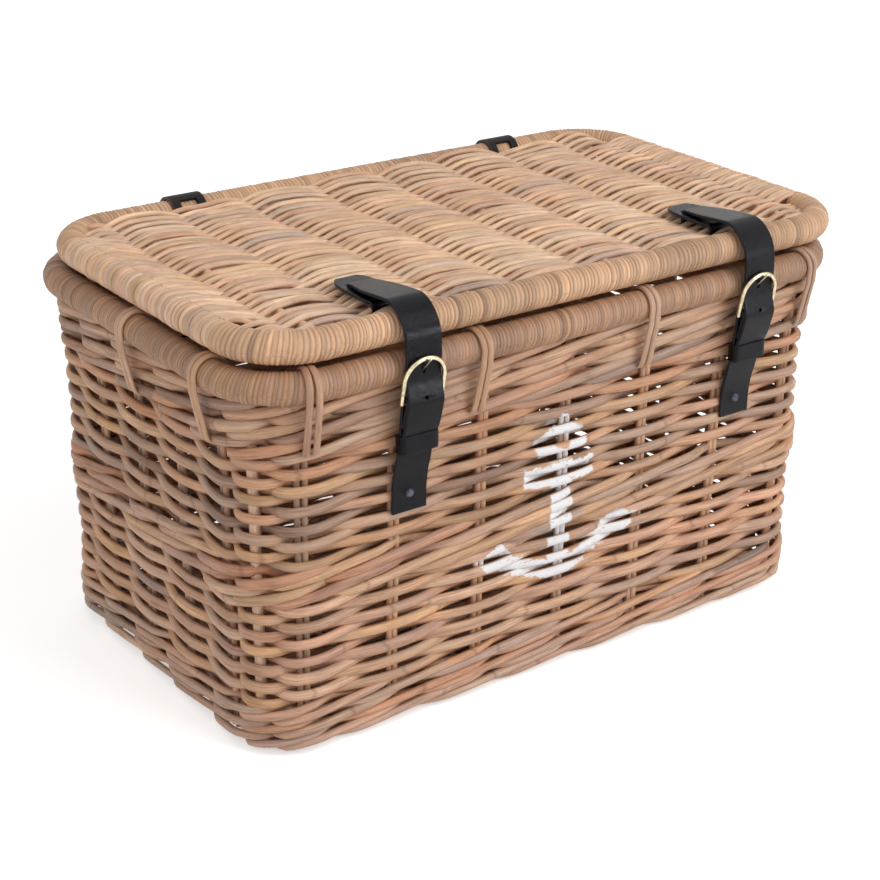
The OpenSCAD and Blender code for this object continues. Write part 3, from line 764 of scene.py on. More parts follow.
class StageSettings(PropertyGroup):
    """Floor, light and camera."""

    lens: FloatProperty(name="Lens", description="Focal length", default=0.08126, unit="LENGTH")
    floor: FloatVectorProperty(
        name="Floor", description="Colour of the floor",
        size=3, subtype="COLOR_GAMMA", min=0, max=1, default=(1.0, 1.0, 1.0),
    )
    floor_glow: FloatProperty(
        name="Floor glow", description="Light added to the floor for the camera", default=0.5, min=0
    )
    sky: FloatProperty(name="Sky", description="Strength of the even light", default=0.5, min=0)
    key: FloatProperty(name="Key light", description="Power of the large soft lamp", default=36.0, min=0)
    fill: FloatProperty(name="Fill light", description="Power of the second soft lamp", default=9.0, min=0)
    low: FloatProperty(
        name="Low light", description="Power of the lamp that only gloss shows", default=26.0, min=0
    )


def wall_palette(looks):
    """The canes' colours, in the order of every piece's shares."""
    names = ("pink", "pale", "gold", "orange", "grey", "dark")
    return [getattr(looks, name + "_cane") for name in names]


def around_path(s, out, z):
    """Points round the wall, out from the stakes' line, and the outward directions there."""
    return line_round(STAKE_LINE, s, out + wall_shift(z), z)


def corner_share(s):
    """1 in the middle of a rounded corner and 0 away from it."""
    bends = [STAKE_LINE.edges[k] + STAKE_LINE.corner * math.pi / 4 for k in (1, 3, 5, 7)]
    apart = np.min([np.abs(s - b) for b in bends], axis=0)
    return ease(1 - apart / 55)


def back_share(s):
    """1 along the back and 0 along the front."""
    place, _ = STAKE_LINE.at(s)
    return ease((place[:, 1] - 100) / 60)


def swing_share(s):
    """How far the weavers swing: less along the back and the right end, more round the left end."""
    place, _ = STAKE_LINE.at(s)
    back = back_share(s)
    left = ease((-place[:, 0] - 240) / 40) * (1 - back)
    right = ease((place[:, 0] - 240) / 40) * (1 - back)
    return 1 - 0.45 * back + 0.12 * left - 0.15 * right


def weave_siding(canes, sizes, low, high, first):
    """Rows of single weavers that pass in front of every second stake."""
    rows, rng = sizes.siding_rows, canes.rng
    pitch = (high - low) / rows
    s = np.linspace(0, STAKE_LINE.length, SIDING_STEPS, endpoint=False)
    k = np.clip(np.searchsorted(STAKE_STOPS, s, "right") - 1, 0, len(STAKE_STOPS) - 2)
    gap = STAKE_STOPS[k + 1] - STAKE_STOPS[k]
    flat = np.minimum(FLAT_AT_STAKE, gap * 0.16)
    t = ease((s - STAKE_STOPS[k] - flat) / (gap - 2 * flat))
    thick, tall = sizes.weaver_thickness / MM / 2, sizes.weaver_height / MM / 2
    tall = tall * (1 + 0.13 * back_share(s))
    reach = sizes.weaver_swing / MM * swing_share(s)
    for row in range(rows):
        # Each weaver is thicker or thinner than the next, and strays a little out of its path and its row
        crossing = np.where((k + row + first) % 2 == 0, 1.0, -1.0) * (1 - 2 * t)
        size = 1 + rng.normal(0, 0.05) + wander(rng, s, 160, 0.035, True)
        out = reach * crossing + wander(rng, s, 90, 0.5, True) + CORNER_OUT * corner_share(s)
        z = low + (row + 0.5) * pitch + wander(rng, s, 70, 0.85, True) + 0.25 * crossing
        in_front = STAKE_S[(np.arange(len(STAKE_S)) + row + first) % 2 == 0]
        joins = some_of(rng, in_front, 0.22)
        tones = canes.colours_along(s, joins)
        path, normal = around_path(s, out, z)
        canes.add(path, normal, np.stack([thick * size, tall * size], 1), tones, closed=True)


def weave_wale(canes, sizes, low, high, rows):
    """Rows of three weavers each, every one over two stakes and behind one, rising as it goes."""
    pitch, rng = (high - low) / rows, canes.rng
    s = np.linspace(0, STAKE_LINE.length, WALE_STEPS, endpoint=False)
    counts = np.arange(-0.5, len(STAKE_S) + 0.6)
    passed = np.interp(s, STAKE_STOPS, counts) * (len(STAKE_S) + 1) / len(STAKE_S)
    tall, thick = pitch / 4 * 1.122, sizes.weaver_thickness / MM / 2 * 1.08
    reach = sizes.weaver_swing / MM * swing_share(s)
    # Where in a turn of the pattern a weaver comes out, is highest and goes in, and how long it crosses
    comes_out, highest, goes_in, crossing = -0.05, 0.64, 0.55, 0.2
    for row in range(rows):
        for weaver in range(3):
            start = rng.uniform(0, 0.25)
            # A third of a turn of the pattern for each stake that it passes
            phase = np.mod((passed - weaver - start + row) / 3, 1.0)
            wrapped = np.where(phase > 0.86, phase - 1, phase)
            rise, fall = ease((wrapped - comes_out) / crossing), ease((wrapped - goes_in) / crossing)
            over = np.interp(phase, [0, highest, 1.0], [-1, 1, -1])
            smooth = 0.75 * over + 0.25 * np.sin(over * math.pi / 2)
            z = low + (row + 0.5) * pitch + pitch * 0.49 * smooth + wander(rng, s, 90, 0.8, True)
            size = 1 + rng.normal(0, 0.05) + wander(rng, s, 150, 0.04, True)
            bow = 1.1 * np.sin(np.clip(wrapped / highest, 0, 1) * math.pi)
            out = reach * (2 * rise * (1 - fall) - 1) + bow + wander(rng, s, 90, 0.4, True)
            out += CORNER_OUT * corner_share(s)
            joins = [STAKE_LINE.length * f for f in rng.uniform(0, 1, 3)]
            path, normal = around_path(s, out, z)
            half = np.stack([thick * size, tall * size], 1)
            canes.add(path, normal, half, canes.colours_along(s, joins), closed=True)


class CHEST_OT_walls(Operator):
    """Weave the five bands of the walls round the stakes"""

    bl_idname = "chest.walls"
    bl_label = "Weave walls"

    def execute(self, context):
        sizes, looks = context.scene.chest_canes, context.scene.chest_colours
        painted = cane_material("painted_wall_cane", looks, 0.6, 0.42, painted=True)
        plain = cane_material("wall_cane", looks, 0.6, 0.42)
        palette = wall_palette(looks)
        # The light factors make the upper band darker than the lower one
        for name, first, shares, light in (
            ("lower_siding", 0, (36, 22, 16, 6, 18, 2), (0.93, 0.91, 0.91)),
            ("upper_siding", 1, (36, 24, 16, 5, 17, 2), (0.86, 0.83, 0.78)),
        ):
            low, high = corners_of(name)
            canes = Canes(sizes.seed + 11 + first, palette, shares, 0.2, light)
            weave_siding(canes, sizes, low[2], high[2], first)
            canes.piece("woven_" + name, painted, "rattan", "chest", name)
        # The light factors make the top wale darker than the bottom wale
        for name, low, high, rows, finish, slot, shares, light in (
            ("bottom_wale", 5.0, 41.0, 3, plain, "dark_rattan", (34, 14, 12, 8, 28, 4), (0.93, 0.95, 0.96)),
            ("middle_wale", 129.0, 159.0, 2, painted, "rattan", (34, 20, 16, 5, 22, 3), (0.88, 0.87, 0.88)),
            ("top_wale", 249.0, 294.5, 3, plain, "dark_rattan", (34, 24, 14, 4, 22, 2), (0.86, 0.83, 0.78)),
        ):
            canes = Canes(sizes.seed + 31 + rows + int(low), palette, shares, 0.2, light)
            weave_wale(canes, sizes, low, high, rows)
            canes.piece("woven_" + name, finish, slot, "chest", name)
        return {"FINISHED"}


def stake_piece(name, node, wanted, single, sizes, looks):
    """The stakes of one side, each a pair of canes or a single pole."""
    canes = Canes(sizes.seed + 50 + len(name), wall_palette(looks), (26, 34, 20, 2, 18, 0))
    z = np.linspace(3.0 if single else 9.0, STAKE_TOP, 26)
    apart = sizes.pair_pitch / MM / 2
    half = CORNER_POLE / 2 if single else sizes.stake_thickness / MM / 2
    for s0 in wanted:
        for offset in [0.0] if single else [-apart, apart]:
            sway = wander(canes.rng, z, 90, 0.35)
            out = wander(canes.rng, z, 90, 0.2) + (1.6 if single else 0)
            path, normals = around_path(s0 + offset + sway, out, z)
            radius = half * (1 + canes.rng.normal(0, 0.04))
            canes.add(path, normals, (radius, radius), canes.colours_along(z))
    finish = cane_material("stake_cane", looks, 0.5, 0.3, painted=True)
    return canes.piece(name, finish, "cane", "chest", node)


class CHEST_OT_stakes(Operator):
    """Set the upright stakes: pairs along the sides and a pole in each corner"""

    bl_idname = "chest.stakes"
    bl_label = "Set stakes"

    def execute(self, context):
        sizes, looks = context.scene.chest_canes, context.scene.chest_colours
        pairs = STAKE_S[[not single for _, single in STAKES]]
        poles = STAKE_S[[single for _, single in STAKES]]
        place, _ = STAKE_LINE.at(pairs)
        ends = np.abs(place[:, 0]) > RIM_W / 2 - STAKE_IN - 2
        for side, chosen in (
            ("front", ~ends & (place[:, 1] < 0)),
            ("back", ~ends & (place[:, 1] > 0)),
            ("left", ends & (place[:, 0] < 0)),
            ("right", ends & (place[:, 0] > 0)),
        ):
            stake_piece(side + "_stake_pairs", side + "_stakes", pairs[chosen], False, sizes, looks)
        stake_piece("corner_stake_poles", "corner_stakes", poles, True, sizes, looks)
        return {"FINISHED"}


class CHEST_OT_base(Operator):
    """Weave the base and twist the border that the chest stands on"""

    bl_idname = "chest.base"
    bl_label = "Weave base"

    def execute(self, context):
        sizes, looks = context.scene.chest_canes, context.scene.chest_colours
        finish = cane_material("base_cane", looks, 0.6, 0.5)
        low, high = corners_of("base_border")
        inset = RIM_W / 2 - (high[0] - low[0]) / 2 + 7
        line = Outline(RIM_W - 2 * inset, RIM_D - 2 * inset, RIM_CORNER - inset)
        border = Canes(sizes.seed + 71, wall_palette(looks), (26, 6, 8, 10, 36, 14))
        s = np.linspace(0, line.length, 280, endpoint=False)
        half, twist_length, twist_reach, height = 3.5, 62, 3.45, 7.1
        turns = round(line.length / twist_length)
        for k in range(3):
            twist = TAU * (s / line.length * turns + k / 3)
            z = height + twist_reach * np.sin(twist)
            path, normals = line_round(line, s, half * np.cos(twist), z)
            border.add(path, normals, (half, half), border.colours_along(s), closed=True)
        border.piece("twisted_border", finish, "dark_rattan", "chest", "base_border")
        low, high = corners_of("base_weave")
        middle = (low + high) / 2 - MIDDLE
        half_w, half_d = (high - low)[:2] / 2
        corner, cane_pitch, stick_pitch, level, swing = RIM_CORNER - 30.3, 5.4, 72.0, 8, 1.5
        base = Canes(sizes.seed + 72, wall_palette(looks), (36, 14, 14, 6, 26, 4))
        count = int(2 * half_d / cane_pitch)
        for row in range(count):
            y = -half_d + (row + 0.5) * 2 * half_d / count
            over = max(0.0, abs(y) - (half_d - corner))
            reach = half_w - corner + math.sqrt(max(0.0, corner**2 - over**2)) - 1
            x = np.linspace(-reach, reach, 76)
            z = level + np.cos((x / stick_pitch + row) * math.pi) * swing
            sway = wander(base.rng, x + reach, 120, 0.4)
            path = np.stack([x, y + sway, z], 1) + middle * [1, 1, 0]
            base.add(path, (0, 0, 1), (2.1, 3.4), base.colours_along(x + reach), 6)
        base.piece("woven_base", finish, "rattan", "chest", "base_weave")
        cad_finish("base_sticks", stick_material(looks))
        return {"FINISHED"}


def stick_material(looks):
    """The pale cane of the sticks across the base and the lid."""
    return cane_material("stick_cane", looks, 0.5, 0.3, 0.0, one_tone=looks.pale_cane)


def cad_finish(node, finish):
    """Gives a node that stays its finish."""
    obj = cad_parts[node]
    obj.data.materials.clear()
    obj.data.materials.append(finish)


def wound_rim(canes, line, z, low, high, pitch, ridge, closed, shade):
    """Cane wound round a pole, turn by turn, along part of a rim; ridge is how proud each turn is, and
    shade is how much painted shade darkens its colour down between turns.
    """
    # The points round a turn, and how far it leans from square to the rim
    sides, lean = 20, 1.6
    length = high - low
    turns = int(round(length / pitch))
    uneven, patchy, dark_share = 0.17, 0.09, 0.03
    widths = np.clip(1 + canes.rng.normal(0, uneven, turns), 0.6, 1.5)
    starts = np.concatenate([[0], np.cumsum(widths)]) / widths.sum() * length + low
    # Places across a turn, and how far each lies down in the hollow between turns, where painted shade
    # darkens its colour
    across = ((0.06, 1.0), (0.25, 0.22), (0.5, 0.0), (0.75, 0.22), (0.94, 1.0))
    angle = np.arange(sides) * TAU / sides
    points, grain, tone = [], [], []
    patches = 1 + wander(canes.rng, np.arange(turns) * pitch, 45, patchy)
    for turn in range(turns):
        width = starts[turn + 1] - starts[turn]
        proud = canes.rng.normal(0, 0.12)
        colour = canes.colour() * patches[turn]
        colour = colour * (0.6 if canes.rng.random() < dark_share else 1.0)
        depth = ridge * canes.rng.uniform(0.6, 1.3)
        # Painted shade: how much this turn's colour darkens where it lies down between turns
        painted_groove_shade = shade * canes.rng.uniform(0.35, 1.25)
        number = canes.rng.uniform(0, FAR_GRAIN)
        for spot, drop in across:
            r = WRAP_R + proud * (1 - drop) - depth * drop
            s = starts[turn] + spot * width + lean * np.sin(angle)
            points.append(line_round(line, s, r * np.cos(angle), z + r * np.sin(angle))[0])
            beside = np.full(sides, (spot - 0.5) * width)
            grain.append(np.stack([angle * r + number, beside, np.zeros(sides)], 1))
            # The colour darkens by painted shade as the turn lies down between turns
            tone.append(np.tile(colour * (1 - painted_groove_shade * drop), (sides, 1)))
    parts = [np.concatenate(part) for part in (points, grain, tone)]
    canes.tube(*parts, sides, closed, inside_out=True)


class CHEST_OT_rims(Operator):
    """Wind cane round the rims of the body and of the lid"""

    bl_idname = "chest.rims"
    bl_label = "Wind rims"

    def execute(self, context):
        sizes, looks = context.scene.chest_canes, context.scene.chest_colours
        palette = wall_palette(looks)
        pitch = sizes.wrap_pitch / MM
        finish = cane_material("rim_winding", looks, 0.4, 0.25, 0.0)
        body = Canes(sizes.seed + 81, palette, (26, 12, 34, 4, 18, 6), 0.68, (0.74, 0.685, 0.64))
        # The last number is how much painted shade darkens the hollows between turns
        wound_rim(body, RIM_LINE, RIM_Z, 0, RIM_LINE.length, pitch * 0.92, 0.3, True, 0.4)
        body.piece("wound_body_rim", finish, "binding_cane", "chest", "body_rim_binding")
        lid = Canes(sizes.seed + 82, palette, (18, 30, 42, 1, 9, 0), 0.82, (0.98, 0.96, 0.95))
        edges, total = LID_LINE.edges, LID_LINE.length
        for first, last in ((edges[3], edges[6]), (edges[7], total + edges[2])):
            # The last number is how much painted shade darkens the hollows between turns
            wound_rim(lid, LID_LINE, LID_Z, first - 1, last + 1, pitch * 1.02, 0.55, False, 0.42)
        lid.piece("wound_lid_rim", finish, "binding_cane", "lid", "lid_rim_binding")
        core = Canes(sizes.seed + 83, palette, (30, 10, 20, 2, 34, 4))
        s = np.linspace(0, total, 160, endpoint=False)
        path, normals = line_round(LID_LINE, s, 0.0, LID_Z)
        core.add(path, normals, (8.4, 8.4), core.colours_along(s), 12, closed=True)
        core.piece("lid_rim_core", finish, "dark_rattan", "lid", "lid_rim_pole")
        pole = cane_material("pole_cane", looks, 0.5, 0.3, 0.0, one_tone=looks.grey_cane)
        cad_finish("body_rim_pole", pole)
        return {"FINISHED"}


class CHEST_OT_ties(Operator):
    """Hang the double cane ties over the body's rim"""

    bl_idname = "chest.ties"
    bl_label = "Tie rim"

    def execute(self, context):
        sizes, looks = context.scene.chest_canes, context.scene.chest_colours
        shares, light = (36, 30, 22, 2, 10, 0), (0.84, 0.83, 0.84)
        canes = Canes(sizes.seed + 91, wall_palette(looks), shares, 0.45, light)
        line = RIM_LINE
        places = [line.front(-95), line.front(70), line.back(-95), line.back(70)]
        places += [line.corner_turn(corner, 13) for corner in CORNERS]
        places += [end(y) for end in (line.left, line.right) for y in (0, -112)]
        half_thick, half_wide, clear = 1.6, 2.75, 0.05
        # Over the rim from inside, then down the wall and in behind the weave
        turn = np.radians(np.linspace(226, -4, 24))
        radius = WRAP_R + clear + half_thick
        out = np.concatenate([radius * np.cos(turn), [13.4, 10.8, 8.2, 6.2, 4.4, -0.4]])
        up = np.concatenate([radius * np.sin(turn), [-12, -24, -36, -45, -50, -53.0]])
        ahead = np.gradient(np.stack([out, up], 1), axis=0)
        for s0 in places:
            sway, tone = canes.rng.normal(0, 0.8), canes.colour()
            for k in (-1, 1):
                apart = 2.9 + 0.6 * ease(-up / 50)
                s = s0 + k * apart + sway * ease(-up / 60) * 1.5
                path, normal = line_round(line, s, out, RIM_Z + up)
                outward = ahead[:, :1] * [0, 0, 1] - ahead[:, 1:] * normal
                shade = tone * canes.rng.uniform(0.92, 1.08)
                canes.add(path, outward, (half_thick, half_wide), shade, 10)
        finish = cane_material("tie_cane", looks, 0.35, 0.15, 0.4)
        canes.piece("double_rim_ties", finish, "cane", "chest", "rim_ties")
        return {"FINISHED"}


def part_strands(y, x):
    """How far the gaps in the lid push a strand aside, along its length."""
    shift = 0
    for gap_x, gap_y, length, push in LID_GAPS:
        away = (y - gap_y) / GAP_FADE
        shift = shift + push * np.sign(away) * math.exp(-abs(away)) * np.exp(-(((x - gap_x) / length) ** 2))
    return shift


def turn_over_end(turns, side, y, radius, half_wide, tone):
    """A strand's end, turned over the rim at one end of the lid and in under the panel."""
    turn, half_w = np.radians(np.linspace(88, -118, 20)), LID_W / 2
    x = np.concatenate([[half_w - 3.0], half_w + radius * np.cos(turn), [half_w - 17]]) * side
    z = np.concatenate([[STRAND_BEND], radius * np.sin(turn), [-6.0]])
    ahead = np.gradient(np.stack([x, z], 1), axis=0)
    outward = np.stack([-ahead[:, 1], np.zeros(len(x)), ahead[:, 0]], 1) * side
    turns.add(np.stack([x, np.full_like(x, y), z], 1) + LID_MIDDLE, outward, (1.9, half_wide), tone)


class CHEST_OT_lid(Operator):
    """Weave the lid's panel over its sticks and turn the strands over the end rims"""

    bl_idname = "chest.lid"
    bl_label = "Weave lid"

    def execute(self, context):
        sizes, looks = context.scene.chest_canes, context.scene.chest_colours
        finish, palette = cane_material("lid_cane", looks, 0.5, 0.25, 0.3), wall_palette(looks)
        canes = Canes(sizes.seed + 101, palette, (40, 32, 14, 3, 10, 1), 0.35, (1.12, 1.22, 1.27))
        turns = Canes(sizes.seed + 102, palette, (30, 28, 24, 4, 14, 1), 0.3, (0.96, 1.02, 1.06))
        half_w, half_d = LID_W / 2, LID_D / 2
        straight, reach = half_d - LID_CORNER, half_d - WRAP_R - 1.2
        rows, rng = sizes.lid_strands, canes.rng
        pitch = 2 * reach / rows
        level = (PANEL_LOW + PANEL_HIGH) / 2 - LID_Z
        # How far a strand swings, its half thickness, and how much wider it is than its share of the depth
        swing, tall, overlap = 4.7, 2.3, 1.36
        # How far from an end of the lid the strands begin to lie flatter, and where they are flat
        flatter, flat = 40, 6
        drift = np.stack([wander(rng, np.arange(rows) * pitch, 60, 2.6) for _ in LID_STICKS], 1)
        for row in range(rows):
            y = -reach + (row + 0.5) * pitch
            stops = np.concatenate([[-half_w + 2], LID_STICKS + drift[row], [half_w - 2]])
            wide = pitch / 2 * overlap * (1 + rng.normal(0, 0.06))
            proud = rng.normal(0, 0.3)
            wraps = abs(y) < straight - 1
            if wraps:
                end = half_w - 3.0
            else:
                inner = LID_CORNER - WRAP_R + 5
                end = half_w - LID_CORNER + math.sqrt(max(0.0, inner**2 - (abs(y) - straight) ** 2))
            x = np.linspace(-end, end, 150 if wraps else 140)
            at = x + end
            k = np.clip(np.searchsorted(stops, x, "right") - 1, 0, len(stops) - 2)
            t = np.clip((x - stops[k]) / (stops[k + 1] - stops[k]), 0, 1)
            sign = np.where((k + row) % 2 == 0, 1.0, -1.0)
            # Each strand rises steeply over a stick and slopes down to the next, and narrows where it rises
            weave = sign * np.cos(math.pi * t ** np.where(sign > 0, 1.5, 1.8))
            rising = np.where(sign < 0, np.sin(math.pi * np.clip((t - 0.5) / 0.5, 0, 1)), 0)
            fade = ease((half_w - flat - np.abs(x)) / (flatter - flat))
            tight = 1 + wander(rng, at, 70, 0.1)
            z = level + swing * weave * fade * tight + wander(rng, at, 80, 0.3)
            if wraps:
                z = z * fade + (1 - fade) * STRAND_BEND
            loose = 1.0 if abs(y) < straight else 1.9
            slim = 1 - 0.26 * ease((x - LID_STICKS[-1] + 30) / 34)
            across = y + wander(rng, at, 70, 0.5 * loose) + part_strands(y, x)
            clear = 1 - sum(np.exp(-(((x - strap) / 22) ** 2)) for strap in STRAPS.values())
            z = z + BACK_RISE * ease((y - reach + 62) / 56) * fade * clear
            tones = canes.colours_along(at, some_of(rng, LID_STICKS + end, 0.16))
            size = 1 + rng.normal(0, 0.04)
            wide = wide * size
            half_wide = wide * slim * (0.75 + 0.25 * fade) * (1 - 0.24 * rising * fade)
            half = np.stack([(tall - 0.4 * (1 - fade)) * size, half_wide], 1)
            path = np.stack([x, across, z], 1) + LID_MIDDLE
            canes.add(path, (0, 0, 1), half, tones, cap=not wraps)
            if wraps:
                for side, i in ((-1, 0), (1, -1)):
                    turned = wide * 0.75 * slim[i]
                    turn_over_end(turns, side, across[i], STRAND_BEND + proud, turned, tones[i])
        canes.piece("woven_lid", finish, "lid_rattan", "lid", "lid_weave")
        turns.piece("lid_end_strands", finish, "lid_rattan", "lid", "lid_end_turns")
        cad_finish("lid_sticks", stick_material(looks))
        return {"FINISHED"}


def smooth_line(points, step, rounds):
    """A line through points with its corners cut round, at even steps."""
    p = np.asarray(points, float)
    for _ in range(rounds):
        a, b = p[:-1], p[1:]
        cut = np.stack([a * 0.75 + b * 0.25, a * 0.25 + b * 0.75], 1).reshape(-1, p.shape[1])
        p = np.concatenate([p[:1], cut, p[-1:]])
    gone = lengths_along(p)
    at = np.linspace(0, gone[-1], max(3, int(gone[-1] / step) + 1))
    return np.stack([np.interp(at, gone, p[:, k]) for k in range(p.shape[1])], 1)


def arc_points(centre, radius, first, last, count):
    """Points on part of a circle, between two angles in degrees."""
    turn = np.radians(np.linspace(first, last, count))
    return [(centre[0] + radius * math.cos(a), centre[1] + radius * math.sin(a)) for a in turn]


def strap_mesh(name, finish, x, line, width, columns, seed, holes=(), side=-1, wave=0.0, round_end=0.0):
    """Leather along a line of (out, height) points.

    The columns are the places across, from -1 to 1, that get points besides the edges. Each hole is its
    lower and upper end across and along. A side of -1 is the chest's front and 1 its back.
    """
    gone = lengths_along(line)
    hole_ends = [v for h in holes for v in h[2:]]
    rows = sorted({*gone.tolist(), *hole_ends})
    rows = np.array([r for i, r in enumerate(rows) if i == 0 or r - rows[i - 1] > 0.05 or r in hole_ends])
    path = np.stack([np.interp(rows, gone, line[:, k]) for k in (0, 1)], 1)
    widths = np.interp(rows, gone, np.broadcast_to(width, gone.shape))
    if round_end:
        left = np.clip((gone[-1] - rows) / round_end, 0, 1)
        widths = widths * (0.62 + 0.38 * np.sqrt(1 - (1 - left) ** 2))
    cols = sorted({-1.0, -0.93, 0.93, 1.0, *columns})
    ripple = wander(np.random.default_rng(seed), rows, 25, wave)
    points, grain, edge = [], [], []
    for i, (out, up) in enumerate(path):
        for c in cols:
            u = c * widths[i] / 2
            points.append((x + u, side * (out + ripple[i]), up))
            grain.append((u, rows[i], 0))
            edge.append(1.0 if abs(c) == 1.0 or i in (0, len(path) - 1) else 0.0)
    faces = []
    for i in range(len(path) - 1):
        for j in range(len(cols) - 1):
            middle = (rows[i] + rows[i + 1]) / 2
            across = (cols[j] + cols[j + 1]) / 2 * (widths[i] + widths[i + 1]) / 4
            if any(h[0] < across < h[1] and h[2] < middle < h[3] for h in holes):
                continue
            a = i * len(cols) + j
            b = a + len(cols)
            faces.append([a, a + 1, b + 1, b] if side < 0 else [a, b, b + 1, a + 1])
    obj = mesh_piece(name, points, faces, finish)
    mark(obj, grain, edge=edge)
    tidy_loose(obj)
    return thicken(obj, LEATHER, 0.5, even=True)


def thicken(obj, thick, bevel, even):
    """Gives a sheet of leather its thickness and softens its edges."""
    solid = obj.modifiers.new("thickness", "SOLIDIFY")
    solid.thickness, solid.offset, solid.use_even_offset = thick * MM, 0.0, even
    soft = obj.modifiers.new("edges", "BEVEL")
    soft.width, soft.segments, soft.limit_method = bevel * MM, 2, "ANGLE"
    soft.angle_limit = math.radians(50)
    return apply_modifiers(obj)


def tidy_loose(obj):
    """Drops points that no face uses."""
    bm = bmesh.new()
    bm.from_mesh(obj.data)
    bmesh.ops.delete(bm, geom=[v for v in bm.verts if not v.link_faces], context="VERTS")
    bm.to_mesh(obj.data)
    bm.free()


def apply_modifiers(obj):
    """Makes a piece's modifiers part of its mesh."""
    depsgraph = bpy.context.evaluated_depsgraph_get()
    done = bpy.data.meshes.new_from_object(obj.evaluated_get(depsgraph))
    obj.modifiers.clear()
    old, obj.data = obj.data, done
    name = old.name
    bpy.data.meshes.remove(old)
    done.name = name
    return obj


# Leather lines in the plane of a strap, as distance out and height, as the source draws them
HEEL_BAR = np.array([192.57, 283.0])
BEND_C, BEND_R = (165.02, 326.4), 29.3
TAB_LINE = PANEL_HIGH + 1.6
RUN_LINE = TAB_LINE + 2.9
UNDER_LINE = PANEL_LOW - 1.6
LID_OUT = LID_D / 2 - LID_Y
TAB_TIP, SLOT, LEG, SMALL_BEND = LID_OUT - 79, LID_OUT - 60, LID_OUT - 21, 2.6
LEATHER, KEEPER_LEATHER = 2.6, 1.5


def tab_line():
    """From the tab's tip over the lid, down through the weave and back to the slot from below."""
    points = [(TAB_TIP, TAB_LINE), (SLOT - 12, TAB_LINE), (SLOT + 12, TAB_LINE)]
    points += arc_points((LEG - SMALL_BEND, TAB_LINE - SMALL_BEND), SMALL_BEND, 90, 0, 4)
    points += arc_points((LEG - SMALL_BEND, UNDER_LINE + SMALL_BEND), SMALL_BEND, 0, -90, 4)
    points += [(SLOT + SMALL_BEND, UNDER_LINE)]
    points += arc_points((SLOT + SMALL_BEND, UNDER_LINE + SMALL_BEND), SMALL_BEND, 270, 180, 4)
    return smooth_line(points, 2.0, 2)


def run_line():
    """Up through the slot, over the lid's rim and down through the buckle and the keeper."""
    points = [(SLOT, UNDER_LINE + 4), (SLOT, TAB_LINE - 2)]
    points += arc_points((SLOT + SMALL_BEND, RUN_LINE - SMALL_BEND), SMALL_BEND, 180, 90, 4)
    points += arc_points(BEND_C, BEND_R, 84, 0, 10)
    points += [(BEND_C[0] + BEND_R, 321.9), (195.12, 317), (192.75, 303.3)]
    points += [(198.6, 284.5), (198.4, 281), (193.1, 261), (189.1, 254.5), (187.3, 239.5)]
    return smooth_line(points, 2.0, 2)


def lower_line():
    """Up the wall and round the buckle's heel bar."""
    points = [(176.6, 187.2), (176.6, 212), (184.07, 237), (189.3, 281)]
    points += arc_points(HEEL_BAR, 3.25, 170, 0, 9) + [(189.9, 262.2)]
    return smooth_line(points, 2.0, 2)


class CHEST_OT_front_straps(Operator):
    """Cut the front straps: slotted tab, run over the lid and free end, lower strap and keeper"""

    bl_idname = "chest.front_straps"
    bl_label = "Front straps"

    def execute(self, context):
        looks = context.scene.chest_colours
        finish = leather_material("strap_hide", looks.hide, (0.3, 0.3, 0.34), 0.2, 0.3)
        line, run = tab_line(), run_line()
        gone, tip = lengths_along(run), lengths_along(line)[-1]
        tab_width = np.interp(
            lengths_along(line),
            [0, 2, 6, 12, 22, 52, 56, tip - 6, tip],
            [18, 23, 28, 31.5, 34, 34, 31, 31, 22],
        )
        slot_at, slot_half = 19.0, 2.6
        slot = [(-11.6, 11.6, slot_at - slot_half, slot_at + slot_half)]
        run_width = np.interp(gone, [0, 15, 24, 40, 50], [21, 21, 24, 30, 31])
        # The spare hole, and the hole that the prong comes through
        spare_at, prong_at = (gone[np.argmax((run[:, 0] > 185) & (run[:, 1] < z))] for z in (287.5, 306.0))
        holes = [
            (-1.3, 1.3, spare_at - 1.3, spare_at + 1.3),
            (-1.5, 1.5, prong_at - 5.5, prong_at + 1.5),
        ]
        for number, (name, x) in enumerate(STRAPS.items()):
            columns = (-0.66, 0.66, 0.0)
            tab = strap_mesh("strap_tab_" + name, finish, x, line, tab_width, columns, number, slot)
            settle(tab, "black_leather", "lid")
            columns = (-0.5, -0.09, 0.09, 0.5)
            strap = strap_mesh(
                "front_strap_" + name, finish, x, run, run_width, columns, 5 + number, holes,
                wave=0.12, round_end=9.0,
            )
            settle(strap, "black_leather", None, "upper_strap_" + name, "billet_" + name)
            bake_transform(strap)
            part, columns = "lower_strap_" + name, (-0.5, -0.1, 0.1, 0.5)
            lower = strap_mesh(
                part + "_leather", finish, x, lower_line(), 31, columns, 9 + number, wave=0.1
            )
            settle(lower, "black_leather", "chest", part)
            keeper_piece(name, finish)
        return {"FINISHED"}


def keeper_piece(name, finish):
    """The loop that holds a strap's free end."""
    low, high = (corner - MIDDLE for corner in corners_of("keeper_" + name))
    width, depth = (high - low)[:2] - KEEPER_LEATHER
    line = Outline(width, depth, 2.6, (low + high)[:2] / 2)
    s = np.linspace(0, line.length, 44, endpoint=False)
    heights = [low[2], low[2] + 1, (low[2] + high[2]) / 2, high[2] - 1, high[2]]
    points, grain, edge = [], [], []
    for i, z in enumerate(heights):
        for j, p in enumerate(line.at(s)[0]):
            points.append((*p, z))
            grain.append((z, s[j], 0))
            edge.append(1.0 if i in (0, len(heights) - 1) else 0.0)
    n = len(s)
    faces = []
    for i in range(len(heights) - 1):
        for j in range(n):
            k = (j + 1) % n
            faces.append([i * n + j, i * n + k, (i + 1) * n + k, (i + 1) * n + j])
    obj = mesh_piece("keeper_loop_" + name, points, faces, finish)
    mark(obj, grain, edge=edge)
    settle(thicken(obj, KEEPER_LEATHER, 0.35, even=False), "black_leather", "chest", "keeper_" + name)


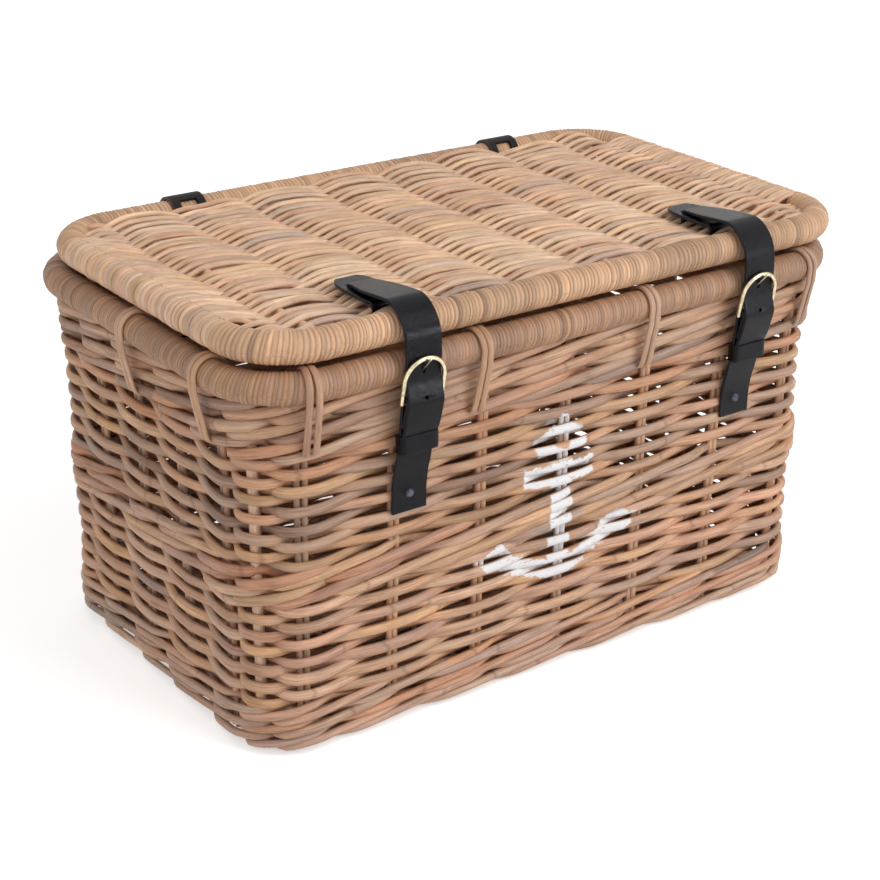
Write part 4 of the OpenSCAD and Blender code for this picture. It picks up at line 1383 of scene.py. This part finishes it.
class CHEST_OT_hinge_straps(Operator):
    """Cut the two leather hinge straps at the back"""

    bl_idname = "chest.hinge_straps"
    bl_label = "Hinge straps"

    def execute(self, context):
        looks = context.scene.chest_colours
        finish = leather_material("hinge_hide", looks.old_hide, (0.42, 0.38, 0.36), 0.5, 0.6)
        lid_c, rim_c = np.array([LID_D / 2 + LID_Y, LID_Z]), np.array([RIM_D / 2, RIM_Z])
        radius = WRAP_R + 0.6 + LEATHER / 2
        # The free span runs straight from the lid's rim to the body's
        across = math.degrees(math.atan2(*(rim_c - lid_c)[::-1])) + 90
        span = rim_c - lid_c
        leaving = arc_points(lid_c, radius, across, across, 1)[0]
        near, far = leaving + span * 0.38, leaving + span * 0.72
        points = arc_points(lid_c, radius, 252, across, 22) + arc_points(rim_c, radius, across, -8, 7)
        line = smooth_line(points + [(178.5, 227), (176.9, 187.2)], 2.2, 1)
        # The end under the lid is cut into two legs
        legs = [(-8.0, 8.0, -1.0, 33.0)]
        for number, (name, x) in enumerate(STRAPS.items()):
            part = "hinge_strap_" + name
            columns = (-0.52, 0.0, 0.52)
            strap = strap_mesh(
                part + "_leather", finish, x, line, 31, columns, 20 + number, legs, side=1, wave=0.15
            )
            settle(strap, "black_leather", None, part)
            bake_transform(strap)
        return {"FINISHED"}


class CHEST_OT_metal(Operator):
    """Finish the buckles, prongs and rivets"""

    bl_idname = "chest.metal"
    bl_label = "Finish metal"

    def execute(self, context):
        looks = context.scene.chest_colours
        brass = metal_material("buckle_brass", looks.brass, looks.old_brass, 0.1)
        dark = metal_material("rivet_metal", (0.34, 0.35, 0.4), (0.12, 0.12, 0.14), 0.3)
        for side in ("left", "right"):
            cad_finish("buckle_frame_" + side, brass)
            cad_finish("prong_" + side, brass)
        cad_finish("strap_rivets", dark)
        return {"FINISHED"}


class CHEST_OT_stage(Operator):
    """Set the camera, the floor, the lamps and the sky"""

    bl_idname = "chest.stage"
    bl_label = "Set stage"

    def execute(self, context):
        scene, settings = context.scene, context.scene.chest_stage
        azimuth, height, roll = math.radians(-35.98), math.radians(23.62), math.radians(0.65)
        flat = math.cos(height)
        back = Vector((math.sin(azimuth) * flat, -math.cos(azimuth) * flat, math.sin(height)))
        right = Vector((math.cos(azimuth), math.sin(azimuth), 0))
        up = back.cross(right)
        level, lean = math.cos(roll), math.sin(roll)
        right, up = level * right + lean * up, level * up - lean * right
        data = bpy.data.cameras.new("camera")
        data.lens, data.sensor_width = settings.lens / MM, 36.0
        data.clip_start, data.clip_end = 0.05, 50.0
        camera = bpy.data.objects.new("camera", data)
        target, away = Vector(to_row([-3.47, -5.50, 145.3])), 1.7223
        turned = Matrix((right, up, back)).transposed().to_4x4()
        camera.matrix_world = Matrix.Translation(target + back * away) @ turned
        scene.collection.objects.link(camera)
        scene.camera = camera
        scene.view_settings.view_transform = "Standard"
        floor_piece(settings)
        for name, place, size, power, colour in (
            ("key_light", (0.9, -1.9, 2.1), 1.7, settings.key, (1.0, 0.985, 0.96)),
            ("fill_light", (-2.3, -1.2, 1.5), 1.9, settings.fill, (0.97, 0.985, 1.0)),
            ("low_light", (1.35, -2.1, 0.6), 0.5, settings.low, (0.93, 0.96, 1.0)),
        ):
            lamp = bpy.data.lights.new(name, "AREA")
            lamp.energy, lamp.size, lamp.color = power, size, colour
            obj = bpy.data.objects.new(name, lamp)
            obj.location = place
            aim = Vector((0, 0, 0.15)) - Vector(place)
            obj.rotation_euler = aim.to_track_quat("-Z", "Y").to_euler()
            obj.visible_diffuse = name != "low_light"
            scene.collection.objects.link(obj)
        sky(scene, settings)
        return {"FINISHED"}


def seen_white(nodes):
    """1 for the rays of the camera, of reflections and through glass, which see the white background."""
    rays = nodes.add("ShaderNodeLightPath").outputs
    seen = nodes.math("MAXIMUM", rays["Is Camera Ray"], rays["Is Transmission Ray"])
    return nodes.math("MAXIMUM", seen, rays["Is Glossy Ray"])


def floor_piece(settings):
    """A plain pale floor that keeps the shadow, is white to the camera and is dark under the chest."""
    made, n, shader = material("floor")
    place = n.parts(n.add("ShaderNodeTexCoord").outputs["Object"])
    low, high = corners_of("base_border")
    apart = [abs(place[k] - MIDDLE[k] * MM) - (high[k] - low[k]) / 2 * MM for k in (0, 1)]
    outside = n.spread(n.math("MAXIMUM", *apart), -0.03, -0.006, 0.0, settings.floor_glow, True)
    plain = {
        "Roughness": 0.9,
        "Specular IOR Level": 0.0,
        "Base Color": rgba(settings.floor),
        "Emission Color": (1, 1, 1, 1),
        "Emission Strength": seen_white(n) * outside,
    }
    for name, value in plain.items():
        n.join(value, shader.inputs[name])
    mesh = bpy.data.meshes.new("floor")
    corners = [(x * FLOOR_HALF, y * FLOOR_HALF, -0.0003) for x, y in ((-1, -1), (1, -1), (1, 1), (-1, 1))]
    mesh.from_pydata(corners, [], [[0, 1, 2, 3]])
    mesh.materials.append(made)
    obj = bpy.data.objects.new("floor", mesh)
    bpy.context.scene.collection.objects.link(obj)


def sky(scene, settings):
    """An even sky that is plain white to the camera and in reflections."""
    scene.world = world = bpy.data.worlds.new("sky")
    world.use_nodes = True
    n, background = Nodes(world.node_tree), world.node_tree.nodes["Background"]
    n.join((1, 1, 1, 1), background.inputs["Color"])
    n.join(n.spread(seen_white(n), 0.0, 1.0, settings.sky, 1.0), background.inputs["Strength"])


class CHEST_PT_pieces(Panel):
    """Lists the steps that make the chest"""

    bl_idname = "CHEST_PT_pieces"
    bl_label = "Wicker chest"
    bl_space_type = "VIEW_3D"
    bl_region_type = "UI"
    bl_category = "Chest"

    def draw(self, context):
        for step in STEPS:
            self.layout.operator(step.bl_idname)
        for group in ("chest_canes", "chest_colours", "chest_stage"):
            settings = getattr(context.scene, group)
            box = self.layout.box()
            for name in settings.__annotations__:
                box.prop(settings, name)


STEPS = (
    CHEST_OT_stage,
    CHEST_OT_walls,
    CHEST_OT_stakes,
    CHEST_OT_base,
    CHEST_OT_rims,
    CHEST_OT_ties,
    CHEST_OT_lid,
    CHEST_OT_front_straps,
    CHEST_OT_hinge_straps,
    CHEST_OT_metal,
)
SETTINGS = (("chest_canes", CaneSizes), ("chest_colours", ChestColours), ("chest_stage", StageSettings))


def register():
    for name, group in SETTINGS:
        bpy.utils.register_class(group)
        setattr(bpy.types.Scene, name, PointerProperty(type=group))
    for step in (*STEPS, CHEST_PT_pieces):
        bpy.utils.register_class(step)


def unregister():
    for step in (CHEST_PT_pieces, *reversed(STEPS)):
        bpy.utils.unregister_class(step)
    for name, group in reversed(SETTINGS):
        delattr(bpy.types.Scene, name)
        bpy.utils.unregister_class(group)


def main():
    """Makes every piece in order."""
    register()
    for step in STEPS:
        area, action = step.bl_idname.split(".")
        getattr(getattr(bpy.ops, area), action)()


if __name__ == "__main__":
    main()
